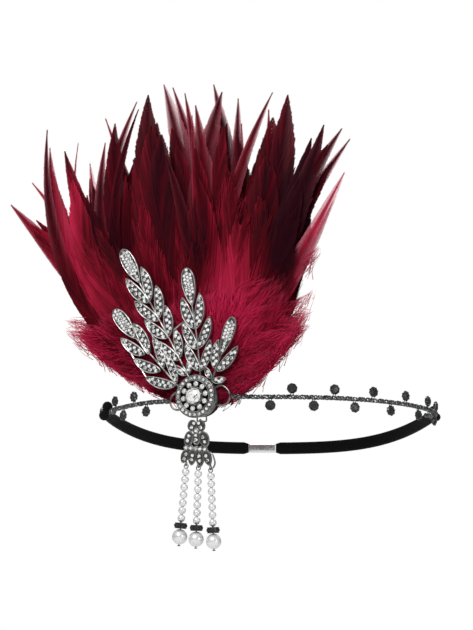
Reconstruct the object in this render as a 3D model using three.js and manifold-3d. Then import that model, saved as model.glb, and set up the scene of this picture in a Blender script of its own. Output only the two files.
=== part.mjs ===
// Feather headband: a plume behind a rhinestone brooch on a head loop of chain and elastic.
// Millimetres, +Z up. The origin is the middle of the head loop, level with its side joints.
// The wearer looks along -Y, and the brooch sits left of the middle as seen from the front.
import * as THREE from 'three';
import { mergeVertices } from 'three/addons/utils/BufferGeometryUtils.js';
import Module from 'manifold-3d';

const wasm = await Module();
wasm.setup();
const deg = THREE.MathUtils.degToRad;

// Head loop
const LOOP_HALF_WIDTH = 92;
const LOOP_HALF_DEPTH = 75;
const GAP = 0.32;

// Brooch place: back plane of the medallion, turned from the front view about +Z
const BROOCH_AT = [-38, -69, -1];
const BROOCH_TURN = deg(25);

// Medallion
const DRUM_RADIUS = 10.6;
const FLANGE_RADIUS = 11.4;
const DRUM_DEPTH = 7.1;
const RIM_STONES = 24;
const RIM_STONE_CIRCLE = 9.75;
const RIM_STONE_RADIUS = 0.98;
const CHANNEL_FLOOR = 6.7;
const DISH_FLOOR = 6.4;
const SEAT_FLOOR = 7.3;
const RING_STONES = 10;
const RING_STONE_CIRCLE = 6.5;
const RING_STONE = { radius: 1.4, girdle: 1.1, top: 2 };
const RING_START = deg(10);
const CENTRE_STONE = { radius: 4.3, base: 3, girdle: 8.8, crown: 9.8, top: 10.4 };

// Leaf sprays
const LEAF_BACK = 0.9;
const LEAF_BED = 1.8;
const LEAF_TOP = 2.5;
const LEAF_RIM = 0.6;
const STEM_RADIUS = 0.6;
const LEAF_STONE_RADIUS = 1.05;
const LEAF_STONE_TOP = 2.9;
const LEAF_STONE_STEP = 7.4;

// Wire rings and bail
const D_WIRE_RADIUS = 0.55;
const D_RING_HEIGHT = 1.2;
const BAIL = { left: -0.4, right: 5, bar: -13.1, height: 3, wire: 0.4 };

// Pendant, in its own frame: origin on the bail's bar, x across, y up, z outward
const PENDANT_LEAN = deg(1.9);
const PLATE_BACK = 0.7;
const PLATE_TOP = 1.5;
const PLATE_RIM_TOP = 1.85;
const PLATE_STONE_TOP = 2.1;
const PLATE_STONE_RADIUS = 0.9;
const EYE = { ring: 1.1, wire: 0.35, x: 1.5 };
const JUMP = { ring: 1.15, wire: 0.3, lug: 1.05 };

// Pearl strings
const SMALL_PEARL_RADIUS = 2;
const SMALL_PEARLS = 7;
const SMALL_PITCH = 4.05;
const RONDELLE = { radius: 3.5, half: 1.55 };
const LARGE_PEARL_RADIUS = 4;
const PIN_RADIUS = 0.35;
const BORE_RADIUS = 0.68;

// Chain
const CHAIN_RADIUS = 1.45;
const CHAIN_SIDES = 8;
const CHAIN_STEP = 7;
const CHAIN_STONE = { radius: 2.75, offset: 4.5 };

// Elastic
const BAND_WIDTH = 7;
const BAND_THICKNESS = 3;
const LOBE_RADIUS = 2.85;
const CRIMP = { length: 15.4, barrel: 1.4, spread: 1.2 };
const BAND_STEPS = 16;
const CROWDING = 0.8;

// Finishes
const metal = (color, roughness) => new THREE.MeshStandardMaterial({ color, roughness, metalness: 1 });
const plain = (color, roughness) => new THREE.MeshStandardMaterial({ color, roughness, metalness: 0 });
const SILVER = () => metal(0x8d8f8c, 0.35);
const BRIGHT_SILVER = () => metal(0xd0d2d4, 0.2);
const GUNMETAL = () => metal(0x4a4c4e, 0.35);
const CRYSTAL = () => plain(0xe8ecee, 0.08);
const JET = () => plain(0x101214, 0.1);
const PEARL = () => plain(0xefeff0, 0.2);
const ELASTIC = () => plain(0x0a0a0b, 0.85);
const FEATHER = () => plain(0x7a1228, 0.75);

// A closed geometry as a solid that joins and cuts
function solidOf(geometry) {
  const bare = geometry.clone();
  bare.deleteAttribute('normal');
  bare.deleteAttribute('uv');
  const merged = mergeVertices(bare, 1e-5);
  return new wasm.Manifold(new wasm.Mesh({
    numProp: 3,
    vertProperties: new Float32Array(merged.attributes.position.array),
    triVerts: new Uint32Array(merged.index.array),
  }));
}

// Several geometries or solids joined into one solid
function join(pieces) {
  const solids = pieces.map((piece) => (piece.isBufferGeometry ? solidOf(piece) : piece));
  return solids.reduce((whole, piece) => whole.add(piece));
}

// A named mesh from a solid or a closed geometry
function meshOf(shape, name, material) {
  const result = join([shape]).getMesh();
  const geometry = new THREE.BufferGeometry();
  geometry.setAttribute('position', new THREE.BufferAttribute(result.vertProperties, 3));
  geometry.setIndex(new THREE.BufferAttribute(result.triVerts, 1));
  geometry.computeVertexNormals();
  const mesh = new THREE.Mesh(geometry, material);
  mesh.name = name;
  return mesh;
}

// A shape's outline carried from one height to another
function slab(shape, from, to, curveSegments = 3) {
  const geometry = new THREE.ExtrudeGeometry(shape, { depth: to - from, bevelEnabled: false, curveSegments });
  return geometry.translate(0, 0, from);
}

// A round wire of a few sides along a curve
function wire(curve, radius, steps, sides = 6) {
  const section = new THREE.Shape();
  for (let side = 0; side < sides; side += 1) {
    const turn = (side / sides) * 2 * Math.PI;
    const point = [radius * Math.cos(turn), radius * Math.sin(turn)];
    if (side === 0) section.moveTo(...point);
    else section.lineTo(...point);
  }
  return new THREE.ExtrudeGeometry(section, { steps, extrudePath: curve, curveSegments: 1 });
}

const curveThrough = (points) => new THREE.CatmullRomCurve3(points.map((p) => new THREE.Vector3(...p)));

// A wire that runs straight from one point to another
function rod(from, to, radius, sides = 6) {
  const start = new THREE.Vector3(...from);
  const along = new THREE.Vector3(...to).sub(start);
  const geometry = new THREE.CylinderGeometry(radius, radius, along.length(), sides);
  const upright = new THREE.Vector3(0, 1, 0);
  geometry.applyQuaternion(new THREE.Quaternion().setFromUnitVectors(upright, along.clone().normalize()));
  return geometry.translate(...start.add(along.multiplyScalar(0.5)).toArray());
}

// A turned form about z, from [radius, height] pairs that start and end on the axis
function turned(profile, sides) {
  const geometry = new THREE.LatheGeometry(profile.map(([r, z]) => new THREE.Vector2(r, z)), sides);
  return geometry.rotateX(Math.PI / 2);
}

// A round cut stone about z: a table, and eight facets above and below its girdle
function cutStone(radius, base, girdle, table) {
  return turned([[0, base], [radius * 0.7, base], [radius, girdle], [radius * 0.6, table], [0, table]], 8);
}

// A set stone whose lower half is sunk in its metal
function setStone(x, y, radius, from, top) {
  const geometry = new THREE.CylinderGeometry(radius * 0.6, radius, top - from, 8);
  return geometry.rotateX(Math.PI / 2).translate(x, y, (from + top) / 2);
}

// A closed geometry whose points are moved one by one
function reshaped(geometry, move) {
  const points = geometry.attributes.position;
  const point = new THREE.Vector3();
  for (let index = 0; index < points.count; index += 1) {
    point.fromBufferAttribute(points, index);
    points.setXYZ(index, ...move(point).toArray());
  }
  return geometry;
}

// The head loop: an ellipse seen from above, its angle counted from the front towards +X
const ripple = (angle) => Math.sin(deg(angle)) ** 4;
const chainHeight = (angle) => -1.3 - 1.7 * ripple(angle);
const bandHeight = (angle) => -13.4 * (1 - ripple(angle)) - 0.8 * ripple(angle);

function loopPoint(angle, z, inset = 0) {
  const x = (LOOP_HALF_WIDTH - inset) * Math.sin(deg(angle));
  const y = -(LOOP_HALF_DEPTH - inset) * Math.cos(deg(angle));
  return new THREE.Vector3(x, y, z);
}

function loopOutward(angle) {
  const x = Math.sin(deg(angle)) / LOOP_HALF_WIDTH;
  const y = -Math.cos(deg(angle)) / LOOP_HALF_DEPTH;
  return new THREE.Vector3(x, y, 0).normalize();
}

// The angle that lies a length of loop away from another angle
function angleAfter(angle, length) {
  const step = Math.sign(length) * 0.05;
  let left = Math.abs(length);
  let here = angle;
  while (left > 0) {
    left -= loopPoint(here, 0).distanceTo(loopPoint(here + step, 0));
    here += step;
  }
  return here;
}

// The medallion: a turned drum with a stone channel, a bezel, a dish and the centre seat
function drum() {
  return turned([
    [0, 0], [9.8, 0], [DRUM_RADIUS, 0.8], [DRUM_RADIUS, 2.4], [10.1, 2.9], [10.1, 3.6], [DRUM_RADIUS, 4.1],
    [DRUM_RADIUS, 5.2], [FLANGE_RADIUS, 5.9], [FLANGE_RADIUS, DRUM_DEPTH], [10.85, DRUM_DEPTH],
    [10.85, CHANNEL_FLOOR], [8.65, CHANNEL_FLOOR], [8.65, 7.7], [8.1, 7.7], [8.1, DISH_FLOOR],
    [5.1, DISH_FLOOR], [5.1, 8.5], [4.7, 8.5], [4.7, SEAT_FLOOR], [0, SEAT_FLOOR],
  ], 20);
}

function rimStones() {
  const stones = [];
  for (let index = 0; index < RIM_STONES; index += 1) {
    const turn = (index / RIM_STONES) * 2 * Math.PI;
    const x = RIM_STONE_CIRCLE * Math.cos(turn);
    const y = RIM_STONE_CIRCLE * Math.sin(turn);
    stones.push(setStone(x, y, RIM_STONE_RADIUS, CHANNEL_FLOOR - 0.2, 7.7));
  }
  return stones;
}

// The centre stone: a crown in two steps over its girdle, and a flat table
function centreStone() {
  const { radius, base, girdle, crown, top } = CENTRE_STONE;
  const floor = SEAT_FLOOR + GAP;
  const profile = [
    [0, floor], [base, floor], [radius, girdle], [radius * 0.8, crown], [radius * 0.5, top], [0, top],
  ];
  return turned(profile, 12);
}

// Leaf sprays: stem points and each leaf's base and tip, across and up from the medallion's centre
const SPRAYS = [
  {
    stem: [[-6, 2], [-12.2, 6.5], [-23.8, 19.1], [-37.6, 33.6]],
    leaves: [
      { base: [-37.6, 33.3], tip: [-51, 50.1], width: 8 },
      { base: [-32, 24.5], tip: [-46.8, 34.5], width: 5.8 },
      { base: [-22.5, 15.2], tip: [-38.9, 22.7], width: 5.8 },
      { base: [-13.6, 7], tip: [-31.6, 12.3], width: 5.8 },
      { base: [-29.4, 24.3], tip: [-39.1, 42], width: 5.6 },
      { base: [-20.9, 16.3], tip: [-27.4, 33.8], width: 5.4 },
      { base: [-13, 7.6], tip: [-20.8, 25], width: 5 },
    ],
  },
  {
    stem: [[-3, 6], [-6.5, 12], [-20.1, 36.6], [-35.5, 63.5]],
    leaves: [
      { base: [-35.3, 63.4], tip: [-46.5, 82.7], width: 8 },
      { base: [-29.9, 52.4], tip: [-43.9, 66.8], width: 6 },
      { base: [-23.7, 42.4], tip: [-38.4, 54], width: 6 },
      { base: [-18.4, 32.6], tip: [-32.3, 43.4], width: 5.8 },
      { base: [-11.4, 20.4], tip: [-24.7, 31.5], width: 5.6 },
      { base: [-7, 12], tip: [-14.2, 17.9], width: 3.8 },
      { base: [-29.2, 53], tip: [-34.7, 72.4], width: 5.8 },
      { base: [-23.8, 43.4], tip: [-25.6, 61.7], width: 5.8 },
      { base: [-17.9, 33.2], tip: [-20.3, 50.6], width: 5.8 },
      { base: [-11.3, 21.2], tip: [-14.6, 37.7], width: 5.4 },
      { base: [-6.2, 12.2], tip: [-6.2, 20.3], width: 3.4 },
    ],
  },
  {
    stem: [[0.6, 6], [0.7, 12.2], [-1.4, 32.5], [-4.2, 49]],
    leaves: [
      { base: [-4, 48.9], tip: [-7.8, 69.8], width: 8 },
      { base: [-2.4, 36.5], tip: [-10, 54], width: 6 },
      { base: [-0.6, 25.4], tip: [-9.5, 40.9], width: 5.8 },
      { base: [0.7, 13.6], tip: [-7.8, 29.4], width: 5.6 },
      { base: [-1.6, 36.4], tip: [0.3, 55.7], width: 5.8 },
      { base: [-0.4, 25.9], tip: [6.3, 42.8], width: 5.8 },
      { base: [0.8, 13.6], tip: [6.6, 30.3], width: 5.4 },
    ],
  },
  {
    stem: [[3, 3], [7.4, 8.6], [10, 15.1], [13, 21.9]],
    leaves: [
      { base: [13.1, 21.7], tip: [20.1, 41.6], width: 7 },
      { base: [9.4, 14.3], tip: [11.4, 30.1], width: 5.2 },
      { base: [7.4, 9.4], tip: [4, 15.9], width: 3.6 },
      { base: [10.4, 13], tip: [22.5, 25.9], width: 5.6 },
      { base: [7.6, 8.4], tip: [15.8, 9.1], width: 4 },
    ],
  },
];

// Solder bridges between neighbouring leaves, across and up
const BRIDGES = [
  { from: [-20.4, 25.2], to: [-24.9, 31.4] },
  { from: [-27.4, 33.6], to: [-32.2, 43.2] },
  { from: [-14.4, 37.4], to: [-9.4, 40.8] },
  { from: [-38.7, 22.6], to: [-46.2, 34.2] },
  { from: [-31.4, 12.3], to: [-38.2, 22.4] },
];

// A pointed leaf from its base along x, widest before its middle
function leafShape(length, width, inset) {
  const from = inset * 2;
  const to = length - inset * 2.6;
  const swell = (width / 2 - inset) * 2;
  const shape = new THREE.Shape();
  shape.moveTo(from, 0);
  shape.quadraticCurveTo(length * 0.4, swell, to, 0);
  shape.quadraticCurveTo(length * 0.4, -swell, from, 0);
  return shape;
}

// One leaf: a plate with a raised rim, and a row of its main stones on its bed
function leaf({ base, tip, width }) {
  const length = Math.hypot(tip[0] - base[0], tip[1] - base[1]);
  const turn = Math.atan2(tip[1] - base[1], tip[0] - base[0]);
  const plate = solidOf(slab(leafShape(length, width, 0), LEAF_BACK, LEAF_TOP));
  const bed = solidOf(slab(leafShape(length, width, LEAF_RIM), LEAF_BED, LEAF_TOP + 1));
  const stones = [];
  const margin = Math.min(4.4, length * 0.4);
  for (let along = margin; along < length - 3.6; along += LEAF_STONE_STEP) {
    stones.push(setStone(along, 0, LEAF_STONE_RADIUS * (width / 6), LEAF_BED - 0.2, LEAF_STONE_TOP));
  }
  return join([plate.subtract(bed), ...stones]).rotate([0, 0, THREE.MathUtils.radToDeg(turn)])
    .translate([base[0], base[1], 0]);
}

function spray({ stem, leaves }) {
  const centre = (LEAF_BACK + LEAF_BED) / 2 + 0.2;
  const curve = curveThrough(stem.map(([x, y]) => [x, y, centre]));
  return join([wire(curve, STEM_RADIUS, 4, 5), ...leaves.map(leaf)]);
}

// Side rings of wire, and the staple that the pendant hangs on
const D_RINGS = [
  [[8.6, 4.4], [11.5, 5.6], [14, 5.2], [16.6, 3], [17.7, -0.4], [16.4, -3.4], [13.6, -4.9], [9, -4.2]],
  [
    [-8.6, 3], [-11.6, 3.9], [-14, 3.2], [-16.3, 1.3],
    [-17.2, -1.3], [-16.2, -4.4], [-13.4, -6], [-8.4, -5.6],
  ],
];

function bail() {
  const { left, right, bar, height, wire: radius } = BAIL;
  return [
    rod([left, -8, height], [left, bar, height], radius),
    rod([right, -8, height], [right, bar, height], radius),
    rod([left - radius * 0.8, bar, height], [right + radius * 0.8, bar, height], radius, 8),
  ];
}

function brooch() {
  const centre = (LEAF_BACK + LEAF_BED) / 2;
  const rings = D_RINGS.map((points) => {
    const curve = curveThrough(points.map(([x, y]) => [x, y, D_RING_HEIGHT]));
    return wire(curve, D_WIRE_RADIUS, 11, 5);
  });
  const bridges = BRIDGES.map(({ from, to }) => rod([...from, centre], [...to, centre], 0.4, 5));
  return join([drum(), ...rimStones(), ...SPRAYS.map(spray), ...rings, ...bridges, ...bail()]);
}

// Pendant plate: its lobes as ellipses and its petals as leaves, around the bail's bar
const LOBES = [
  { x: -2.7, y: -2, wide: 2.6, high: 3.1, lean: -6 },
  { x: 2.2, y: -2.3, wide: 2.6, high: 3.1, lean: 6 },
  { x: -0.4, y: -5, wide: 1.8, high: 1.8, lean: 0 },
  { x: -4.9, y: -8.8, wide: 2.5, high: 4.1, lean: -12 },
  { x: -0.4, y: -8.6, wide: 2.1, high: 3.7, lean: 0 },
  { x: 4.2, y: -9.3, wide: 2.8, high: 4.3, lean: 14 },
];
const PETALS = [
  { base: [-5.6, -14.2], tip: [-8.7, -21.4], width: 4.6 },
  { base: [-2.3, -14.4], tip: [-3.6, -22.9], width: 4.6 },
  { base: [1, -14.8], tip: [1.9, -23.8], width: 4.8 },
  { base: [4.4, -14.8], tip: [7.2, -23.5], width: 4.8 },
];
const PLATE_STONES = [
  [-1.5, -0.9], [-2.9, -3], [1.2, -0.9], [2.4, -3.3], [-0.4, -5],
  [-4.5, -7.3], [-5.4, -9.8], [3.7, -8.4], [4.7, -10.9], [-0.4, -7.2], [-0.4, -9.6],
  [-6.3, -13.5], [-3.5, -13.9], [-0.7, -14.3], [1.9, -14.5], [4.6, -14.8],
  [-6.3, -16.9], [-7.3, -19.2], [-2.6, -17.7], [-3, -19.9],
  [1.3, -18.2], [1.6, -20.7], [5.3, -18.3], [6.2, -20.7],
];

function lobe({ x, y, wide, high, lean }) {
  const outline = (inset) => new THREE.Shape()
    .absellipse(x, y, wide - inset, high - inset, 0, 2 * Math.PI, false, deg(lean));
  const bed = solidOf(slab(outline(0.5), PLATE_TOP, PLATE_RIM_TOP + 1, 4));
  return solidOf(slab(outline(0), PLATE_BACK, PLATE_RIM_TOP, 4)).subtract(bed);
}

function petal({ base, tip, width }) {
  const length = Math.hypot(tip[0] - base[0], tip[1] - base[1]);
  const turn = Math.atan2(tip[1] - base[1], tip[0] - base[0]);
  const bed = solidOf(slab(leafShape(length, width, 0.5), PLATE_TOP, PLATE_RIM_TOP + 1));
  return solidOf(slab(leafShape(length, width, 0), PLATE_BACK, PLATE_RIM_TOP)).subtract(bed)
    .rotate([0, 0, THREE.MathUtils.radToDeg(turn)]).translate([base[0], base[1], 0]);
}

// Strings: where each hangs, how far its end drifts sideways, and the height of its first pearl
const DRIFT_LENGTH = 38;
const STRINGS = [
  { x: -6.6, drift: -4.4, first: -26.1 },
  { x: 0.5, drift: -1.9, first: -27.4 },
  { x: 7.6, drift: 1.2, first: -28.8 },
];
const jumpHeight = (string) => string.first + SMALL_PEARL_RADIUS + JUMP.ring - 0.15;
const lugHeight = (string) => jumpHeight(string) + JUMP.ring + 0.15;
const LUG_DEPTH = (PLATE_BACK + PLATE_TOP) / 2;

function ring(radius, tube, place, across = false) {
  const geometry = new THREE.TorusGeometry(radius, tube, 5, 8);
  if (across) geometry.rotateY(Math.PI / 2);
  return geometry.translate(...place);
}

function pendantPlate() {
  const row = new THREE.Shape();
  row.moveTo(-8, -12.1);
  row.quadraticCurveTo(0, -13, 7, -12.9);
  row.lineTo(7, -16.4);
  row.quadraticCurveTo(0, -16.8, -8, -15);
  row.closePath();
  const stones = PLATE_STONES.map(
    ([x, y]) => setStone(x, y, PLATE_STONE_RADIUS, PLATE_TOP - 0.2, PLATE_STONE_TOP));
  const lugs = STRINGS.flatMap((string) => [
    rod([string.x, -16, LUG_DEPTH], [string.x, lugHeight(string) + JUMP.lug, LUG_DEPTH], 0.45),
    ring(JUMP.lug, JUMP.wire, [string.x, lugHeight(string), LUG_DEPTH], true),
  ]);
  return join([
    ...LOBES.map(lobe), slab(row, PLATE_BACK, PLATE_RIM_TOP), ...PETALS.map(petal), ...stones, ...lugs,
    ring(EYE.ring, EYE.wire, [EYE.x, -(EYE.ring - EYE.wire - BAIL.wire - GAP), 0], true),
  ]);
}

// A string hangs along its own slight drift sideways, so its points are worked out from its length down
const bottomOf = (string) => string.first - (SMALL_PEARLS - 1) * SMALL_PITCH - SMALL_PEARL_RADIUS;
const rondelleAt = (string) => bottomOf(string) - GAP - RONDELLE.half;
const largePearlAt = (string) => rondelleAt(string) - RONDELLE.half - GAP - LARGE_PEARL_RADIUS;
const pinEnd = (string) => largePearlAt(string) - LARGE_PEARL_RADIUS - 0.9;

// Seven pearls and the head pin that carries them on, turned as one, under the jump ring
function pearlString(string) {
  const profile = [];
  for (let index = 0; index < SMALL_PEARLS; index += 1) {
    const centre = string.first - index * SMALL_PITCH;
    for (const tilt of [76, 30, -30, -76]) {
      const [out, up] = [Math.cos(deg(tilt)), Math.sin(deg(tilt))];
      profile.push([SMALL_PEARL_RADIUS * out, centre + SMALL_PEARL_RADIUS * up]);
    }
  }
  const end = pinEnd(string);
  profile.unshift([0, profile[0][1]]);
  profile.push([PIN_RADIUS, bottomOf(string)], [PIN_RADIUS, end + 0.5]);
  profile.push([0.9, end + 0.5], [0.9, end], [0, end]);
  const line = turned(profile.reverse(), 10).rotateX(-Math.PI / 2);
  return join([line, ring(JUMP.ring, JUMP.wire, [0, jumpHeight(string), 0])]);
}

// The spacer: a black drum with chamfered edges and a bore for the head pin
function rondelle() {
  const { radius, half } = RONDELLE;
  return new THREE.LatheGeometry([
    [BORE_RADIUS, -half], [radius - 0.8, -half], [radius, -half * 0.5], [radius, half * 0.5],
    [radius - 0.8, half], [BORE_RADIUS, half], [BORE_RADIUS, -half],
  ].map(([r, y]) => new THREE.Vector2(r, y)), 12);
}

function largePearl() {
  const profile = [];
  const open = Math.asin(BORE_RADIUS / LARGE_PEARL_RADIUS);
  for (let index = 0; index <= 7; index += 1) {
    const turn = -Math.PI / 2 + open + (index / 7) * (Math.PI - 2 * open);
    profile.push([LARGE_PEARL_RADIUS * Math.cos(turn), LARGE_PEARL_RADIUS * Math.sin(turn)]);
  }
  profile.push(profile[0]);
  return new THREE.LatheGeometry(profile.map(([r, y]) => new THREE.Vector2(r, y)), 12);
}

// Chain: a round tube from a side ring of the brooch to an end ring of the elastic
const toWorld = (x, y, z) => new THREE.Vector3(x, y, z).applyMatrix4(broochMatrix());

function broochMatrix() {
  const place = new THREE.Matrix4().makeRotationX(Math.PI / 2);
  place.premultiply(new THREE.Matrix4().makeRotationZ(-BROOCH_TURN));
  return place.setPosition(...BROOCH_AT);
}

// Both halves of the loop: where each chain starts, and where its end ring and the band's fold lie.
// Angles are in degrees round the loop, and lengths in millimetres along it.
const HALVES = [
  {
    name: 'left', side: -1, start: [-18.2, -1.3], from: -35.6, joins: -44, ring: -85.2, fold: -82,
    lobe: 2.85, stones: 4, first: -17, pitch: -9.7, crimp: -177.57,
  },
  {
    name: 'right', side: 1, start: [18.7, -0.4], from: -13.3, joins: -5, ring: 97.5, fold: 94,
    lobe: 2.3, stones: 12, first: 20, pitch: 11.5, crimp: 182.43,
  },
];
const TUCK = 4.7;
const TUCK_SPAN = 12;
const END_RING = { radius: 2.6, wire: 0.48 };

// A point of the chain, which tucks in under the fold to meet the end ring
function chainPoint(half, angle) {
  const last = half.ring - half.side * 1.2;
  const tuck = TUCK * Math.max(0, 1 - Math.abs(last - angle) / TUCK_SPAN);
  return loopPoint(angle, chainHeight(angle) + 0.3 * tuck, tuck);
}

function chain(half) {
  const last = half.ring - half.side * 1.2;
  const points = [toWorld(half.start[0], half.start[1], D_RING_HEIGHT)];
  const count = Math.round(Math.abs(last - half.joins) / 8);
  for (let index = 0; index <= count; index += 1) {
    points.push(chainPoint(half, half.joins + ((last - half.joins) * index) / count));
  }
  const curve = new THREE.CatmullRomCurve3(points);
  return wire(curve, CHAIN_RADIUS, Math.round(curve.getLength() / CHAIN_STEP), CHAIN_SIDES);
}

// A black stone in its cup: the cup flares to a lip, and the stone has a table and eight facets
function chainStone() {
  const { radius } = CHAIN_STONE;
  return turned([[0, -1.5], [radius, -0.3], [2.4, 0.5], [1.4, 1.35], [0, 1.35]], 8);
}

// A chain stone stands above or below the chain and faces outward from the head
function placeStone(mesh, half, index) {
  const angle = angleAfter(half.from, half.first + half.pitch * index);
  const outward = loopOutward(angle);
  const lift = index % 2 === 0 ? -CHAIN_STONE.offset : CHAIN_STONE.offset;
  mesh.position.copy(chainPoint(half, angle)).add(new THREE.Vector3(0, 0, lift));
  mesh.rotation.set(Math.PI / 2, 0, Math.atan2(outward.y, outward.x) + Math.PI / 2, 'ZXY');
}

// Elastic: a flat band that narrows to a waist inside the end ring and folds into two lobes.
// Its sections crowd towards both ends, where its width changes.
function bandHalf(half) {
  const start = angleAfter(half.crimp, -half.side * (CRIMP.length / 2 + GAP));
  const end = half.fold;
  const length = Math.abs(start - end) * deg(1) * 84;
  const band = new THREE.CylinderGeometry(1, 1, 1, 8, BAND_STEPS);
  const squared = (value) => Math.sign(value) * Math.sqrt(Math.abs(value));
  reshaped(band, (point) => {
    const even = point.y + 0.5;
    const share = even - (CROWDING * Math.sin(2 * Math.PI * even)) / (2 * Math.PI);
    const angle = start + (end - start) * share;
    const shoulder = Math.min(1, 0.74 + (share * length) / 10);
    const pinch = Math.min(1, 0.46 + Math.max(0, (1 - share) * length - 6) / 8);
    const across = squared(point.x) * (BAND_WIDTH / 2) * Math.min(shoulder, pinch);
    const through = half.side * squared(point.z) * (BAND_THICKNESS / 2);
    return loopPoint(angle, bandHeight(angle) + across).addScaledVector(loopOutward(angle), through);
  });
  return band;
}

function elastic(half) {
  const middle = loopPoint(half.fold, bandHeight(half.fold));
  const outward = loopOutward(half.fold);
  const lobes = [-1, 1].map((up) => {
    const centre = middle.clone().addScaledVector(outward, up * -0.9);
    centre.z += up * half.lobe * 0.86;
    return new THREE.SphereGeometry(half.lobe, 10, 6).rotateX(Math.PI / 2).translate(...centre.toArray());
  });
  return join([bandHalf(half), ...lobes]);
}

function endRing(half) {
  const along = loopPoint(half.ring + 1, 0).sub(loopPoint(half.ring - 1, 0)).normalize();
  const geometry = new THREE.TorusGeometry(END_RING.radius, END_RING.wire, 5, 12);
  geometry.applyQuaternion(new THREE.Quaternion().setFromUnitVectors(new THREE.Vector3(0, 0, 1), along));
  return geometry.translate(...loopPoint(half.ring, bandHeight(half.ring)).toArray());
}

// Crimp sleeve: two barrels side by side that grip the two ends of the band
function crimpSleeve() {
  const barrels = [-1, 1].map((up) => {
    const barrel = new THREE.CylinderGeometry(CRIMP.barrel, CRIMP.barrel, CRIMP.length, 12);
    return barrel.rotateZ(Math.PI / 2).translate(0, 0, up * CRIMP.spread);
  });
  return join(barrels);
}

// Plume: a pad behind the medallion with the quills' root behind it, a padded fan body,
// and blades and locks fused to it.
// Tips are across and up from the medallion's centre; depth is how far behind it a blade lies.
const PAD = { radius: 10, front: -0.4, back: -4, rootRadius: 6, root: -13 };
const FAN_BODY = [
  [-9, 2], [-32, 13], [-57, 27], [-74, 44], [-74, 64], [-64, 84], [-46, 98], [-24, 104], [0, 104],
  [26, 99], [46, 88], [54, 66], [49, 40], [30, 18], [11, 2],
];
const FAN_FRONT = -3;
const FAN_BACK = -18;
const FAN_EDGE = 5;
const ROOT_DEPTH = 7;
const FEATHERS = [
  { tip: [-124, 117], width: 12, depth: 10, bow: -8 },
  { tip: [-114, 128], width: 9, depth: 18, bow: -20 },
  { tip: [-97, 157], width: 19, depth: 5, bow: -26 },
  { tip: [-96, 148], width: 15, depth: 22, bow: -13 },
  { tip: [-76, 145], width: 10, depth: 1, bow: -7 },
  { tip: [-75, 138], width: 14, depth: 14, bow: -10 },
  { tip: [-62, 160], width: 14, depth: 6, bow: -19 },
  { tip: [-64, 162], width: 18, depth: 24, bow: -16 },
  { tip: [-50, 164], width: 16, depth: 12, bow: -13 },
  { tip: [-39, 166], width: 18, depth: 0, bow: -16 },
  { tip: [-40, 174], width: 19, depth: 17, bow: -5 },
  { tip: [-25, 175], width: 15, depth: 5, bow: -4 },
  { tip: [-27, 177], width: 15, depth: 22, bow: -1 },
  { tip: [-9, 166], width: 14, depth: -1, bow: 0 },
  { tip: [-10, 164], width: 16, depth: 14, bow: 0 },
  { tip: [6, 171], width: 16, depth: 4, bow: -2 },
  { tip: [0, 172], width: 13, depth: 24, bow: 0 },
  { tip: [17, 164], width: 14, depth: 10, bow: -2 },
  { tip: [31, 158], width: 9, depth: 19, bow: 1 },
  { tip: [42, 163], width: 12, depth: 2, bow: -13 },
  { tip: [47, 162], width: 19, depth: 9, bow: 1 },
  { tip: [49, 131], width: 18, depth: 15, bow: 7 },
  { tip: [69, 142], width: 19, depth: 4, bow: -1 },
  { tip: [72, 143], width: 16, depth: 21, bow: -8 },
  { tip: [83, 134], width: 12, depth: 8, bow: -9 },
  { tip: [82, 115], width: 9, depth: 4, bow: 7 },
];
const DOWN_LOCKS = [
  { tip: [-83, 50], width: 14, depth: 11 },
  { tip: [-82, 43], width: 13, depth: 8 },
  { tip: [-75, 36], width: 11, depth: 14 },
  { tip: [-62, 28], width: 10, depth: 8 },
  { tip: [-49, 19], width: 9, depth: 12 },
  { tip: [-28, 7], width: 9, depth: 8 },
  { tip: [10, 5], width: 8, depth: 8 },
  { tip: [18, 14], width: 10, depth: 11 },
  { tip: [35, 26], width: 12, depth: 8 },
  { tip: [51, 40], width: 13, depth: 13 },
  { tip: [56, 53], width: 14, depth: 10 },
];
const LOCK_SWAY = 0.04;
const COVERT_SWAY = 0.06;

// Shorter feathers that overlap the body's two faces, in even fans: directions are counted from +x
const COVERTS = [
  { count: 9, from: 66, to: 134, reach: 116, width: 20, depth: 2 },
  { count: 8, from: 70, to: 132, reach: 118, width: 21, depth: 22 },
  { count: 4, from: 68, to: 128, reach: 82, width: 24, depth: 3 },
  { count: 4, from: 68, to: 126, reach: 84, width: 24, depth: 21 },
];

function coverts({ count, from, to, reach, width, depth }) {
  return Array.from({ length: count }, (_, index) => {
    const turn = deg(from + ((to - from) * index) / (count - 1));
    return { tip: [reach * Math.cos(turn), reach * Math.sin(turn)], width, depth };
  });
}

// A blade's row with a bow outward that grows with how far across its tip is
function swayed(row, sway) {
  return { ...row, bow: sway * row.tip[0] };
}

// A blade: a flat pointed form from the root to its tip, bowed sideways: to -x where the bow is negative
function blade({ tip, width, depth, bow }) {
  const [across, up] = tip;
  const length = Math.hypot(across, up);
  const form = new THREE.LatheGeometry(
    [[0, 0.02], [0.3, 0.16], [0.5, 0.55], [0.34, 0.82], [0, 1]].map(([r, y]) => new THREE.Vector2(r, y)), 4);
  reshaped(form, (point) => {
    const sideways = 4 * point.y * (1 - point.y) * bow + point.x * width;
    const x = across * point.y + (up / length) * sideways;
    const y = up * point.y - (across / length) * sideways;
    const z = -ROOT_DEPTH - (depth - ROOT_DEPTH) * point.y ** 1.3 + point.z * width * 0.24;
    return new THREE.Vector3(x, y, z);
  });
  return form;
}

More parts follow.
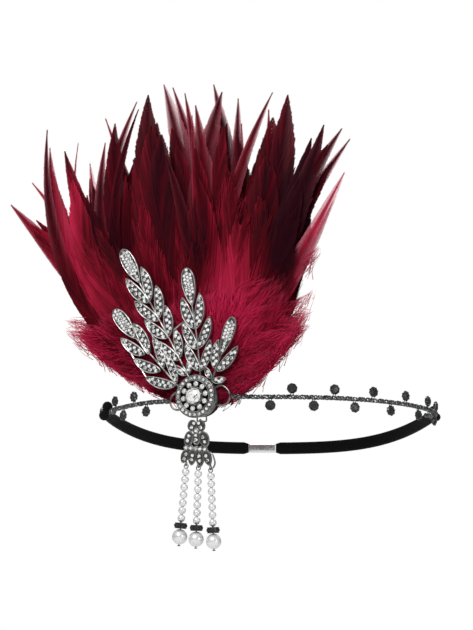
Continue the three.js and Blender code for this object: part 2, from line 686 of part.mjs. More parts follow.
function fanBody() {
  const outline = new THREE.Shape(FAN_BODY.map(([x, y]) => new THREE.Vector2(x, y)));
  const depth = FAN_FRONT - FAN_BACK - 2 * FAN_EDGE;
  const geometry = new THREE.ExtrudeGeometry(outline, {
    depth, bevelEnabled: true, bevelSegments: 1,
    bevelThickness: FAN_EDGE, bevelSize: FAN_EDGE, bevelOffset: -FAN_EDGE,
  });
  return geometry.translate(0, 0, FAN_BACK + FAN_EDGE);
}

function plume() {
  const pad = turned([
    [0, PAD.root], [PAD.rootRadius, PAD.root], [PAD.radius, PAD.back],
    [PAD.radius, PAD.front], [0, PAD.front],
  ], 16);
  const short = COVERTS.flatMap(coverts).map((row) => swayed(row, COVERT_SWAY));
  const locks = DOWN_LOCKS.map((row) => swayed(row, LOCK_SWAY));
  return join([pad, fanBody(), ...[...FEATHERS, ...short, ...locks].map(blade)]);
}

// The object: everything of the brooch in its own turned frame, the pendant hung in it, the loop round it
const group = new THREE.Group();
const broochGroup = new THREE.Group();
broochGroup.position.set(...BROOCH_AT);
broochGroup.rotation.set(Math.PI / 2, 0, -BROOCH_TURN, 'ZXY');
group.add(broochGroup);
broochGroup.add(meshOf(brooch(), 'brooch', SILVER()));
broochGroup.add(meshOf(centreStone(), 'centre_stone', CRYSTAL()));
for (let index = 0; index < RING_STONES; index += 1) {
  const turn = RING_START + (index / RING_STONES) * 2 * Math.PI;
  const { radius, girdle, top } = RING_STONE;
  const stone = cutStone(radius, DISH_FLOOR + GAP, DISH_FLOOR + girdle, DISH_FLOOR + top);
  const mesh = meshOf(stone, `ring_stone_${String(index + 1).padStart(2, '0')}`, CRYSTAL());
  mesh.position.set(RING_STONE_CIRCLE * Math.cos(turn), RING_STONE_CIRCLE * Math.sin(turn), 0);
  broochGroup.add(mesh);
}
broochGroup.add(meshOf(plume(), 'plume', FEATHER()));

const pendant = new THREE.Group();
pendant.position.set(0, BAIL.bar, BAIL.height);
pendant.rotation.x = PENDANT_LEAN;
broochGroup.add(pendant);
pendant.add(meshOf(pendantPlate(), 'pendant_plate', SILVER()));
STRINGS.forEach((string, index) => {
  const line = new THREE.Group();
  line.position.set(string.x, 0, LUG_DEPTH);
  const hang = new THREE.Group();
  hang.position.set(0, jumpHeight(string), 0);
  hang.rotation.z = Math.atan2(string.drift, DRIFT_LENGTH);
  line.add(hang);
  pendant.add(line);
  const place = (shape, name, material, height) => {
    const mesh = meshOf(shape, `${name}_${index + 1}`, material);
    mesh.position.set(0, height - jumpHeight(string), 0);
    hang.add(mesh);
  };
  place(pearlString(string), 'pearl_string', PEARL(), 0);
  place(rondelle(), 'rondelle', JET(), rondelleAt(string));
  place(largePearl(), 'large_pearl', PEARL(), largePearlAt(string));
});

for (const half of HALVES) {
  group.add(meshOf(chain(half), `chain_${half.name}`, GUNMETAL()));
  group.add(meshOf(endRing(half), `end_ring_${half.name}`, GUNMETAL()));
  group.add(meshOf(elastic(half), `elastic_${half.name}`, ELASTIC()));
}
let stoneNumber = 0;
for (const half of HALVES) {
  for (let index = 0; index < half.stones; index += 1) {
    stoneNumber += 1;
    const mesh = meshOf(chainStone(), `chain_stone_${String(stoneNumber).padStart(2, '0')}`, JET());
    placeStone(mesh, half, index);
    group.add(mesh);
  }
}
const sleeve = meshOf(crimpSleeve(), 'crimp_sleeve', BRIGHT_SILVER());
const sleeveAngle = HALVES[1].crimp;
sleeve.position.copy(loopPoint(sleeveAngle, bandHeight(sleeveAngle)));
sleeve.rotation.z = deg(180 - sleeveAngle) * -(LOOP_HALF_DEPTH / LOOP_HALF_WIDTH);
group.add(sleeve);

export default group;
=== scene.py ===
"""A feather headband, dressed: a rhinestone brooch before a crimson feather fan, a pearl pendant, and the
head loop.

Lengths in this file are millimetres until a mesh is made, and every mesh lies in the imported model's own
frame. """

import logging
from dataclasses import dataclass, field
from enum import Enum
from typing import Any, Iterable, Sequence

import bpy
import numpy as np
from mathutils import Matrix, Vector


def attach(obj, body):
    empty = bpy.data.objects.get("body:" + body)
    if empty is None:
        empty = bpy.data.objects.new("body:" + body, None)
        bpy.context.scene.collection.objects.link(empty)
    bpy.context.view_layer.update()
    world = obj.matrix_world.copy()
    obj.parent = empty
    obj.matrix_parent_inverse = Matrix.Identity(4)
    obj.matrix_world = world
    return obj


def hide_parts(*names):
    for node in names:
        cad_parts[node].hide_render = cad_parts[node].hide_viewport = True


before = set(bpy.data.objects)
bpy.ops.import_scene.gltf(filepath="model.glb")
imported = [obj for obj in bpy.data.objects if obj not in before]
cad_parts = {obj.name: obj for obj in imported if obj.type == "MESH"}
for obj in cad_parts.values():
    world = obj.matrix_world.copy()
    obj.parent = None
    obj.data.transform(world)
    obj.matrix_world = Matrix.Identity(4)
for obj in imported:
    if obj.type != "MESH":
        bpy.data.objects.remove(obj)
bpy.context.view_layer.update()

LOG = logging.getLogger("headband")
MM = 0.001
GAP = 0.32
Array = np.ndarray


# Node materials


class Value:
    """A number's socket that Python's own operators work on."""

    def __init__(self, graph: "Graph", socket: bpy.types.NodeSocket) -> None:
        """Keep the socket and the graph that it belongs to."""
        self.graph = graph
        self.socket = socket

    def _math(self, operation: str, first: Any, second: Any) -> "Value":
        """A Math node of two terms.

        Args:
            operation: The Math node's operation.
            first: The first term, a value or a number.
            second: The second term, a value or a number.

        Returns:
            The node's result.
        """
        return self.graph.node("Math", {"operation": operation}, {0: first, 1: second}).out()

    def __add__(self, other: Any) -> "Value":
        """This plus another."""
        return self._math("ADD", self, other)

    def __radd__(self, other: Any) -> "Value":
        """Another plus this."""
        return self._math("ADD", other, self)

    def __sub__(self, other: Any) -> "Value":
        """This less another."""
        return self._math("SUBTRACT", self, other)

    def __rsub__(self, other: Any) -> "Value":
        """Another less this."""
        return self._math("SUBTRACT", other, self)

    def __mul__(self, other: Any) -> "Value":
        """This times another."""
        return self._math("MULTIPLY", self, other)

    def __rmul__(self, other: Any) -> "Value":
        """Another times this."""
        return self._math("MULTIPLY", other, self)

    def __pow__(self, other: Any) -> "Value":
        """This to the power of another."""
        return self._math("POWER", self, other)


class Placed:
    """A node that was just made, for picking its outputs."""

    def __init__(self, graph: "Graph", node: bpy.types.Node) -> None:
        """Keep the node and its graph."""
        self.graph = graph
        self.node = node

    def out(self, name: str | int = 0) -> Value:
        """One of the node's outputs, by name or place."""
        return Value(self.graph, self.node.outputs[name])


class Graph:
    """A material's node tree, written with plain calls."""

    def __init__(self, tree: bpy.types.NodeTree) -> None:
        """Clear the tree for its new nodes."""
        self.tree = tree
        tree.nodes.clear()

    def node(self, kind: str, settings: dict[str, Any] | None = None,
             inputs: dict[Any, Any] | None = None) -> Placed:
        """Make any shader node.

        Args:
            kind: The node's type without its ShaderNode prefix.
            settings: Properties set before the sockets, with a ramp's stops under "stops".
            inputs: Socket name or place to a number, colour, or value.

        Returns:
            The node, ready to be read.
        """
        made = self.tree.nodes.new(f"ShaderNode{kind}")
        for name, setting in (settings or {}).items():
            if name == "stops":
                self._stops(made.color_ramp, setting)
            else:
                setattr(made, name, setting)
        for name, given in (inputs or {}).items():
            if isinstance(given, Value):
                self.tree.links.new(given.socket, made.inputs[name])
            else:
                made.inputs[name].default_value = given
        return Placed(self, made)

    @staticmethod
    def _stops(ramp: bpy.types.ColorRamp, stops: Sequence[tuple[float, Sequence[float]]]) -> None:
        """Give a ramp its stops.

        Args:
            ramp: The ramp, which has two stops at first.
            stops: Places from 0 to 1 with their colours, two or more.
        """
        while len(ramp.elements) < len(stops):
            ramp.elements.new(0.5)
        for element, (place, colour) in zip(ramp.elements, stops):
            element.position = place
            element.color = (*colour, 1.0)

    def attribute(self, name: str) -> Value:
        """A number that the mesh carries under a name."""
        return self.node("Attribute", {"attribute_name": name}).out("Fac")

    def noise(self, scale: float, detail: float = 3.0, stretch: Sequence[float] = (1.0, 1.0, 1.0)) -> Value:
        """Cloudy variation over the object.

        Args:
            scale: Clouds to a metre.
            detail: How many finer layers are added.
            stretch: Scale along each axis, so that clouds become streaks.

        Returns:
            A number from 0 to 1.
        """
        place = self.node("TexCoord").out("Object")
        mapped = self.node("Mapping", inputs={"Vector": place, "Scale": stretch}).out()
        return self.node("TexNoise", inputs={"Vector": mapped, "Scale": scale, "Detail": detail}).out("Fac")

    def ramp(self, value: Value, stops: Sequence[tuple[float, Sequence[float]]]) -> Value:
        """A colour picked from stops by a number."""
        return self.node("ValToRGB", {"stops": stops}, {"Fac": value}).out("Color")

    def blend(self, factor: Any, first: Any, second: Any) -> Value:
        """A colour between two colours.

        Args:
            factor: 0 for the first and 1 for the second.
            first: A colour or a colour's value.
            second: A colour or a colour's value.

        Returns:
            The mixed colour.
        """
        return self.node("Mix", {"data_type": "RGBA"}, {"Factor": factor, 6: first, 7: second}).out(2)

    def bump(self, height: Value, distance: float, strength: float = 1.0) -> Value:
        """A normal that follows a height.

        Args:
            height: The height from 0 to 1.
            distance: How deep a height of 1 is, in metres.
            strength: How much of it is felt.

        Returns:
            The normal.
        """
        return self.node("Bump", inputs={"Height": height, "Distance": distance, "Strength": strength}).out()

    def finish(self, shader: Placed) -> None:
        """Send a shader to the surface."""
        output = self.tree.nodes.new("ShaderNodeOutputMaterial")
        self.tree.links.new(shader.node.outputs[0], output.inputs["Surface"])


Colour = tuple[float, float, float]


def opaque(colour: Colour) -> tuple[float, float, float, float]:
    """A colour with a full alpha."""
    return (*colour, 1.0)


@dataclass(frozen=True)
class Finish:
    """A finish with a name, which its subclasses paint."""

    name: str

    def paint(self, graph: Graph) -> None:
        """Lay the nodes in a material's graph."""
        raise NotImplementedError

    def material(self) -> bpy.types.Material:
        """The finish's material, made once, under a name that no CAD material has."""
        name = f"dressed_{self.name}"
        found = bpy.data.materials.get(name)
        if found is None:
            found = bpy.data.materials.new(name)
            found.use_nodes = True
            self.paint(Graph(found.node_tree))
        return found


@dataclass(frozen=True)
class Metal(Finish):
    """Cast or drawn metal: bright where it is rubbed, and darkened by oxide in patches."""

    light: Colour = (0.6, 0.6, 0.59)
    dark: Colour = (0.15, 0.15, 0.145)
    roughness: float = 0.3
    grain: float = 900.0
    tarnish: float = 0.6

    def paint(self, graph: Graph) -> None:
        """Mix the two tones by clouds, and roughen the darker one."""
        clouds = graph.noise(260.0, 4.0)
        fine = graph.noise(self.grain, 2.0)
        wear_and_rib_light = clouds * 0.75 + fine * 0.25
        oxide = graph.node("MapRange", inputs={"Value": wear_and_rib_light, 1: 0.42, 2: 0.62, 3: 0.0, 4: 1.0}).out()
        colour = graph.blend(oxide * self.tarnish, opaque(self.light), opaque(self.dark))
        shader = graph.node("BsdfPrincipled", inputs={
            "Base Color": colour,
            "Metallic": 1.0,
            "Roughness": oxide * 0.2 + self.roughness,
            "Normal": graph.bump(fine, 0.00006, 0.5),
        })
        graph.finish(shader)


@dataclass(frozen=True)
class Stone(Finish):
    """Foil-backed cut glass with reflections painted in: each facet's colour runs from dull to bright by a
    random painted glint level that the mesh carries.
    """

    # dull and bright: the colours of facets with the least and the most painted reflection
    dull: Colour = (0.07, 0.073, 0.08)
    bright: Colour = (1.0, 1.0, 1.0)
    metallic: float = 0.15
    coat: float = 0.6
    specular: float = 0.5

    def paint(self, graph: Graph) -> None:
        """Pick each facet's tone by its painted glint level, a reflection painted into the colour."""
        painted_glint = graph.attribute("painted_glint")
        middle = tuple(0.45 * low + 0.55 * high for low, high in zip(self.dull, self.bright))
        colour = graph.ramp(painted_glint, [(0.0, self.dull), (0.3, middle), (0.6, self.bright)])
        shader = graph.node("BsdfPrincipled", inputs={
            "Base Color": colour,
            "Metallic": self.metallic,
            "Specular IOR Level": self.specular,
            "Roughness": 0.2 - 0.13 * painted_glint,
            "Coat Weight": self.coat,
            "Coat Roughness": 0.04,
        })
        graph.finish(shader)


@dataclass(frozen=True)
class Nacre(Finish):
    """Imitation pearl: a milky body under a soft clear skin, with faint clouds."""

    body: Colour = (0.88, 0.87, 0.88)
    cloud: Colour = (0.74, 0.73, 0.76)

    def paint(self, graph: Graph) -> None:
        """Cloud the body and lay the skin over it."""
        clouds = graph.noise(200.0, 2.0)
        shader = graph.node("BsdfPrincipled", inputs={
            "Base Color": graph.blend(clouds * 0.4, opaque(self.body), opaque(self.cloud)),
            "Metallic": 0.45,
            "Roughness": 0.34,
            "Coat Weight": 0.4,
            "Coat Roughness": 0.16,
            "Sheen Weight": 0.3,
        })
        graph.finish(shader)


@dataclass(frozen=True)
class Knit(Finish):
    """Knitted elastic: fine ribs along it and stitches across them, from the piece's UV map."""

    thread: Colour = (0.002, 0.002, 0.0025)
    # The lighter tone: painted light on the tops of ribs and stitches, against the thread's tone in the
    # furrows, and also the random fuzz.
    wear_and_rib_light: Colour = (0.007, 0.007, 0.008)
    ribs: float = 22.0
    stitches: float = 1.4

    def paint(self, graph: Graph) -> None:
        """Raise ribs by a sine across the band and stitches by a sine along it, and colour them lighter on top
        and darker in the furrows, a painted shade, with random fuzz.
        """
        place = graph.node("SeparateXYZ", inputs={0: graph.node("UVMap").out()})
        across = place.out("X") * (2 * np.pi * self.ribs)
        along = place.out("Y") * (2 * np.pi * self.stitches)
        rib = graph.node("Math", {"operation": "SINE"}, {0: across}).out()
        stitch = graph.node("Math", {"operation": "SINE"}, {0: along + across * 0.5}).out()
        height = rib * 0.35 + stitch * 0.15 + 0.5
        fuzz = graph.noise(1500.0, 2.0)
        shader = graph.node("BsdfPrincipled", inputs={
            # Darker in the furrows and lighter on the tops, by height: painted shade; the fuzz part is random
            # tone.
            "Base Color": graph.blend(height * 0.6 + fuzz * 0.4, opaque(self.thread), opaque(self.wear_and_rib_light)),
            "Roughness": fuzz * 0.2 + 0.7,
            "Specular IOR Level": 0.12,
            "Sheen Weight": 0.04,
            "Sheen Roughness": 0.5,
            "Normal": graph.bump(height, 0.00018),
        })
        graph.finish(shader)


@dataclass(frozen=True)
class Plumage(Finish):
    """Dyed feather: a ramp of the dye by the mesh's own shade, streaked with uneven dye and painted sheen,
    paler and thinner towards the barbs' ends.
    """

    deep: Colour = (0.024, 0.002, 0.006)
    wine: Colour = (0.1, 0.0025, 0.008)
    crimson: Colour = (0.34, 0.01, 0.034)
    bright: Colour = (0.62, 0.022, 0.085)
    pale: Colour = (0.68, 0.2, 0.27)
    paling: float = 0.85
    thinning: float = 0.72
    through: float = 0.22

    def paint(self, graph: Graph) -> None:
        """Pick the dye by shade with fine streaks, partly uneven dye and partly a painted sheen, pale and thin
        the ends, and let some light through.
        """
        # Lighter and darker streaks along the feathers: partly uneven dye, partly a painted sheen in place of
        # a gloss.
        streaks = graph.noise(240.0, 4.0, (1.0, 1.0, 0.35))
        shade = graph.attribute("shade") + (streaks - 0.5) * 0.25
        dye = graph.ramp(shade, [(0.0, self.deep), (0.33, self.wine), (0.66, self.crimson),
                                 (1.0, self.bright)])
        ends = graph.attribute("edge")
        colour = graph.blend(ends ** 1.3 * self.paling, dye, opaque(self.pale))
        body = graph.node("BsdfPrincipled", inputs={
            "Base Color": colour,
            "Roughness": streaks * 0.2 + 0.48,
            "Specular IOR Level": 0.03,
            "Alpha": 1.0 - ends * self.thinning,
        })
        light = graph.node("BsdfTranslucent", inputs={"Color": colour})
        clear = graph.node("BsdfTransparent")
        glow = graph.node("MixShader", inputs={0: ends * self.thinning, 1: light.out(), 2: clear.out()})
        graph.finish(graph.node("MixShader", inputs={0: self.through, 1: body.out(), 2: glow.out()}))


@dataclass(frozen=True)
class Felt(Finish):
    """Dark felt with matted fibres."""

    dark: Colour = (0.008, 0.002, 0.003)
    light: Colour = (0.03, 0.004, 0.008)

    def paint(self, graph: Graph) -> None:
        """Mat fine clouds for colour and height."""
        mat = graph.noise(700.0, 5.0)
        shader = graph.node("BsdfPrincipled", inputs={
            "Base Color": graph.blend(mat, opaque(self.dark), opaque(self.light)),
            "Roughness": 0.95,
            "Specular IOR Level": 0.2,
            "Normal": graph.bump(mat, 0.0005),
        })
        graph.finish(shader)


@dataclass(frozen=True)
class Paper(Finish):
    """The studio's plain pale floor."""

    tone: Colour = (0.86, 0.86, 0.86)

    def paint(self, graph: Graph) -> None:
        """A matt tone with the faintest mottle."""
        mottle = graph.noise(6.0, 2.0)
        colour = graph.blend(mottle * 0.1, opaque(self.tone), opaque((0.8, 0.8, 0.8)))
        graph.finish(graph.node("BsdfPrincipled", inputs={"Base Color": colour, "Roughness": 0.9}))


class Finishes(Enum):
    """The finishes of the headband, by what wears them."""

    ANTIQUE = Metal("antique_silver")
    WORN = Metal("worn_silver", light=(0.3, 0.3, 0.295), dark=(0.05, 0.05, 0.05), roughness=0.34, tarnish=0.7)
    BED = Metal("darkened_bed", light=(0.13, 0.13, 0.13), dark=(0.03, 0.03, 0.03), roughness=0.45,
                tarnish=0.6)
    BRIGHT = Metal("bright_silver", light=(0.85, 0.85, 0.86), dark=(0.5, 0.5, 0.5), roughness=0.18,
                   tarnish=0.2)
    GUNMETAL = Metal("gunmetal", light=(0.16, 0.163, 0.167), dark=(0.025, 0.025, 0.027), roughness=0.28,
                     tarnish=0.6)
    # Both stone finishes paint reflections into their facets: dull and bright are the least and the most
    # painted reflection.
    CRYSTAL = Stone("crystal")
    JET = Stone("jet", dull=(0.0005, 0.0005, 0.001), bright=(0.05, 0.052, 0.056), metallic=0.1, coat=0.15,
                specular=0.12)
    PEARL = Nacre("pearl")
    ELASTIC = Knit("elastic_knit")
    HACKLE = Plumage("hackle")
    DOWN = Plumage("down", wine=(0.12, 0.003, 0.011), crimson=(0.38, 0.01, 0.042), bright=(0.64, 0.02, 0.095),
                   pale=(0.75, 0.14, 0.26), paling=0.5, thinning=0.45, through=0.3)
    FELT = Felt("felt")
    FLOOR = Paper("floor")


# Shapes as whole arrays


@dataclass
class Shape:
    """Points in millimetres, faces in arrays of equal corner counts, and numbers that the points carry."""

    points: Array
    faces: list[Array]
    marks: dict[str, Array] = field(default_factory=dict)

    def at(self, frames: Array) -> "Shape":
        """Copies of the shape at many places: each point p goes to A p + b.

        Args:
            frames: One 3x4 matrix [A b] for each copy.

        Returns:
            All the copies as one shape.
        """
        count = len(self.points)
        points = np.einsum("kij,pj->kpi", frames[:, :, :3], self.points) + frames[:, None, :, 3]
        starts = np.arange(len(frames)) * count
        faces = [(face[None] + starts[:, None, None]).reshape(-1, face.shape[1]) for face in self.faces]
        marks = {name: np.tile(values, len(frames)) for name, values in self.marks.items()}
        return Shape(points.reshape(-1, 3), faces, marks)

    def outward(self) -> "Shape":
        """The shape with its faces turned outward, which holds where the volume they enclose is positive."""
        volume = 0.0
        for face in self.faces:
            first = self.points[face[:, 0]]
            for corner in range(1, face.shape[1] - 1):
                second, third = self.points[face[:, corner]], self.points[face[:, corner + 1]]
                volume += float(np.einsum("ij,ij->", first, np.cross(second, third)))
        if volume < 0:
            self.faces = [face[:, ::-1] for face in self.faces]
        return self


def together(shapes: Iterable[Shape]) -> Shape:
    """Several shapes as one, with the marks that all of them carry."""
    parts = list(shapes)
    starts = np.cumsum([0] + [len(part.points) for part in parts[:-1]])
    faces = [face + start for part, start in zip(parts, starts) for face in part.faces]
    names = set.intersection(*(set(part.marks) for part in parts))
    marks = {name: np.concatenate([part.marks[name] for part in parts]) for name in sorted(names)}
    return Shape(np.concatenate([part.points for part in parts]), faces, marks)


def grid_faces(rows: int, columns: int, round_rows: bool = False, round_columns: bool = False) -> Array:
    """Four-cornered faces between the points of a grid, whose point (i, j) is number i times columns plus
    j."""
    i, j = np.meshgrid(
        np.arange(rows if round_rows else rows - 1),
        np.arange(columns if round_columns else columns - 1), indexing="ij")
    i, j = i.ravel(), j.ravel()
    after, beside = (i + 1) % rows, (j + 1) % columns
    return np.stack([i * columns + j, i * columns + beside, after * columns + beside, after * columns + j],
                    axis=1)


def unit(vectors: Array) -> Array:
    """Vectors brought to length one along the last axis."""
    return vectors / np.maximum(np.linalg.norm(vectors, axis=-1, keepdims=True), 1e-9)


def sweep(path: Array, section: Array, hint: Array, scale: Array | float = 1.0,
          closed: bool = False) -> Shape:
    """A section carried along a path: path + scale * (x * side + y * lift), with side = hint x tangent.

    Args:
        path: Points of the path.
        section: The section's points round its outline, as x and y.
        hint: The direction that lift stays near, one for all or one a point.
        scale: The section's size, one for all or one a point.
        closed: Whether the path joins its own start.

    Returns:
        The tube, with flat ends where it is open, and "along" from 0 to 1.
    """
    step = np.roll(path, -1, 0) - np.roll(path, 1, 0) if closed else np.gradient(path, axis=0)
    tangent = unit(step)
    side = unit(np.cross(np.broadcast_to(hint, path.shape), tangent))
    lift = np.cross(tangent, side)
    size = np.broadcast_to(np.asarray(scale, float), (len(path),))[:, None, None]
    points = path[:, None] + size * (section[None, :, :1] * side[:, None] + section[None, :, 1:] * lift[:,
                                                                                                        None])
    rows, columns = points.shape[:2]
    faces = [grid_faces(rows, columns, closed, True)]
    if not closed:
        ends = np.arange(columns)
        faces.append(np.stack([ends[::-1], ends + (rows - 1) * columns]))
    along = np.repeat(np.linspace(0, 1, rows), columns)
    return Shape(points.reshape(-1, 3), faces, {"along": along}).outward()


def circle(sides: int, radius: float = 1.0, start: float = 0.0) -> Array:
    """Points round a circle."""
    turn = start + np.arange(sides) * 2 * np.pi / sides
    return radius * np.stack([np.cos(turn), np.sin(turn)], axis=1)


def tube(path: Sequence[Sequence[float]] | Array, radius: Array | float, sides: int = 8, smooth: int = 0,
         hint: Sequence[float] = (0, 0, 1), closed: bool = False) -> Shape:
    """A round wire along points, which a smooth curve is first put through where smooth says how finely."""
    line = np.asarray(path, float)
    if smooth:
        line = curve_through(line, smooth)
    return sweep(line, circle(sides), np.asarray(hint, float), radius, closed)


def curve_through(points: Array, steps: int) -> Array:
    """A Catmull-Rom curve: between two points it is the cubic whose end slopes are half the neighbours'
    difference."""
    padded = np.concatenate([2 * points[:1] - points[1:2], points, 2 * points[-1:] - points[-2:-1]])
    t = np.linspace(0, 1, steps, endpoint=False)[None, :, None]
    a, b, c, d = (padded[i:len(padded) - 3 + i, None] for i in range(4))
    curve = 0.5 * (2 * b + (c - a) * t + (2 * a - 5 * b + 4 * c - d) * t**2 + (3 * b - a - 3 * c + d) * t**3)
    return np.concatenate([curve.reshape(-1, points.shape[1]), points[-1:]])


def turned(profile: Sequence[Sequence[float]], sides: int, ring: bool = False) -> Shape:
    """A form turned about z: the profile's (r, z) goes to (r cos a, r sin a, z), with flat ends, or as a
    ring."""
    outline = np.asarray(profile, float)
    rim = circle(sides)
    points = np.concatenate([
        outline[:, None, :1] * rim[None], np.broadcast_to(outline[:, None, 1:], (len(outline), sides, 1))],
        axis=2)
    faces = [grid_faces(len(outline), sides, ring, True)]
    if not ring:
        ends = np.arange(sides)
        faces.append(np.stack([ends[::-1], ends + (len(outline) - 1) * sides]))
    return Shape(points.reshape(-1, 3), faces).outward()


def ball(radius: float, sides: int = 20, rings: int = 12, squash: float = 1.0) -> Shape:
    """A ball about the origin: r = R sin a and z = R cos a, with tiny flat poles."""
    tilt = np.linspace(0.02, np.pi - 0.02, rings)
    return turned(np.stack([radius * np.sin(tilt), radius * squash * np.cos(tilt)], axis=1), sides)


def torus(radius: float, wire: float, sides: int = 20, around: int = 8, stretch: float = 1.0) -> Shape:
    """A ring of wire about z, with its y stretched where it is oval."""
    section = circle(around, wire)
    made = turned(np.stack([radius + section[:, 0], section[:, 1]], axis=1), sides, ring=True)
    made.points = made.points * (1, stretch, 1)
    return made


def small_stone(sides: int = 8) -> Shape:
    """A little brilliant of radius 1: a table, two rows of crown facets, and a short foot, its girdle at z
    0."""
    table, girdle, foot = circle(sides, 0.56), circle(sides, 1.0, np.pi / sides), circle(sides, 0.7,
                                                                                         np.pi / sides)
    heights = (0.42, 0.0, -0.35)
    points = np.concatenate([np.column_stack([ring, np.full(sides, z)])
                             for ring, z in zip((table, girdle, foot), heights)])
    i = np.arange(sides)
    after = (i + 1) % sides
    crown = np.concatenate([np.stack([i, sides + i, after], axis=1),
                            np.stack([sides + i, sides + after, after], axis=1)])
    below = np.stack([sides + i, 2 * sides + i, 2 * sides + after, sides + after], axis=1)
    return Shape(points, [i[None], crown, below, (2 * sides + i[::-1])[None]]).outward()


def large_stone(arms: int = 8) -> Shape:
    """A brilliant of radius 1, its girdle at z 0.

    The table carries two rings of triangles, as the facets of the pavilion show through it; each triangle's
    look comes from the painted reflection level that it is given.
    """
    table, star = circle(arms, 0.56), circle(arms, 0.78, np.pi / arms)
    girdle, under, foot = circle(2 * arms, 1.0), circle(2 * arms, 0.97), circle(2 * arms, 0.5)
    heights = (0.36, 0.25, 0.0, -0.08, -0.4)
    points = np.concatenate([np.column_stack([ring, np.full(len(ring), z)])
                             for ring, z in zip((table, star, girdle, under, foot), heights)])
    inner = np.column_stack([circle(arms, 0.3, np.pi / arms), np.full(arms, 0.37)])
    points = np.concatenate([points, inner, [[0.0, 0.0, 0.37]]])
    i = np.arange(arms)
    after, s, g, n = (i + 1) % arms, arms, 2 * arms, 8 * arms
    hub = np.full(arms, 9 * arms)
    two = 2 * arms
    triangles = np.concatenate([
        np.stack([hub, n + i, n + after], axis=1),
        np.stack([n + i, i, after], axis=1),
        np.stack([n + i, after, n + after], axis=1),
        np.stack([i, s + i, after], axis=1),
        np.stack([s + i, s + after, after], axis=1),
        np.stack([s + i, g + 2 * i, g + 2 * i + 1], axis=1),
        np.stack([s + i, g + 2 * i + 1, g + (2 * i + 2) % two], axis=1),
        np.stack([s + i, g + (2 * i + 2) % two, s + after], axis=1),
    ])
    j = np.arange(two)
    beside = (j + 1) % two
    belts = [np.stack([start + j, start + two + j, start + two + beside, start + beside], axis=1)
             for start in (g, g + two)]
    return Shape(points, [triangles, *belts, (g + 2 * two + j[::-1])[None]]).outward()


def frames_of(places: Array, x: Array, y: Array, z: Array) -> Array:
    """3x4 matrices from places and the three axes, each one for all or one a place."""
    columns = [np.broadcast_to(axis, places.shape) for axis in (x, y, z)]
    return np.stack([*columns, places], axis=2)


def upright(places: Array, sizes: Array | float = 1.0, turns: Array | float = 0.0,
            lift: float = 1.0) -> Array:
    """Matrices that size and turn a shape about z at each place.

    Args:
        places: Where each copy's origin goes.
        sizes: How large each is.
        turns: How far each is turned, in radians.
        lift: Height for each unit of size.

    Returns:
        One 3x4 matrix a place.
    """
    size = np.broadcast_to(np.asarray(sizes, float), (len(places),))
    turn = np.broadcast_to(np.asarray(turns, float), (len(places),))
    zero = np.zeros(len(places))
    x = np.stack([np.cos(turn) * size, np.sin(turn) * size, zero], axis=1)
    y = np.stack([-np.sin(turn) * size, np.cos(turn) * size, zero], axis=1)
    return frames_of(places, x, y, np.stack([zero, zero, size * lift], axis=1))


def one_frame(rows: Sequence[Sequence[float]]) -> Array:
    """A single 3x4 matrix in a stack of one."""
    return np.asarray(rows, float)[None]


def turn_about_x(angle: float) -> Array:
    """The 3x3 turn about x."""
    c, s = np.cos(angle), np.sin(angle)
    return np.array([[1, 0, 0], [0, c, -s], [0, s, c]])


def turn_about_z(angle: float) -> Array:
    """The 3x3 turn about z."""
    c, s = np.cos(angle), np.sin(angle)
    return np.array([[c, -s, 0], [s, c, 0], [0, 0, 1]])


# The turn that stands a shape made along z up along y
TO_HANG = np.array([[1.0, 0, 0], [0, 0, 1.0], [0, -1.0, 0]])


# Pieces in the scene


class Body(Enum):
    """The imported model's two bodies."""

    HEADBAND = "headband"
    PENDANT = "pendant"


@dataclass
class Maker:
    """Makes the pieces of one sub-assembly, and keeps count of them."""

    body: Body
    made: list[bpy.types.Object] = field(default_factory=list)

    def piece(self, name: str, shape: Shape, finish: Finishes, replaces: Sequence[str] = (), slot: str = "",
              smooth: bool = True, crease: float = 38.0, painted_glint_seed: int = 0) -> bpy.types.Object:
        """Put a shape into the scene.

        Args:
            name: The piece's name.
            shape: What it is, in millimetres.
            finish: What it wears.
            replaces: The CAD nodes that it stands for.
            slot: The record's material slot; not used.
            smooth: Whether its faces are shaded as a smooth surface between creases.
            crease: The angle past which an edge stays sharp, in degrees.
            painted_glint_seed: The seed of each facet's random painted reflection level, or 0 for none.

        Returns:
            The new object, riding on the maker's body.
        """
        mesh = bpy.data.meshes.new(name)
        corners = np.concatenate([face.ravel() for face in shape.faces])
        counts = np.concatenate([np.full(len(face), face.shape[1]) for face in shape.faces])
        mesh.vertices.add(len(shape.points))
        mesh.vertices.foreach_set("co", (shape.points * MM).astype(np.float32).ravel())
        mesh.loops.add(len(corners))
        mesh.loops.foreach_set("vertex_index", corners.astype(np.int32))
        mesh.polygons.add(len(counts))
        mesh.polygons.foreach_set("loop_start", (np.cumsum(counts) - counts).astype(np.int32))
        mesh.update(calc_edges=True)
        mesh.polygons.foreach_set("use_smooth", np.full(len(counts), smooth))
        if smooth and crease < 180:
            mesh.set_sharp_from_angle(angle=np.radians(crease))
        for mark, values in shape.marks.items():
            if mark == "uv":
                continue
            mesh.attributes.new(mark, "FLOAT", "POINT").data.foreach_set("value", values.astype(np.float32))
        # A random painted reflection level for each facet, which the stone finishes turn into colour.
        if painted_glint_seed:
            glint = np.random.default_rng(painted_glint_seed).random(len(counts)).astype(np.float32)
            mesh.attributes.new("painted_glint", "FLOAT", "FACE").data.foreach_set("value", glint)
        mesh.materials.append(finish.value.material())
        obj = bpy.data.objects.new(name, mesh)
        bpy.context.scene.collection.objects.link(obj)
        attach(obj, self.body.value)
        if replaces:
            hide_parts(*replaces)
        self.made.append(obj)
        LOG.info("%s: %d points, %d faces", name, len(shape.points), len(counts))
        return obj


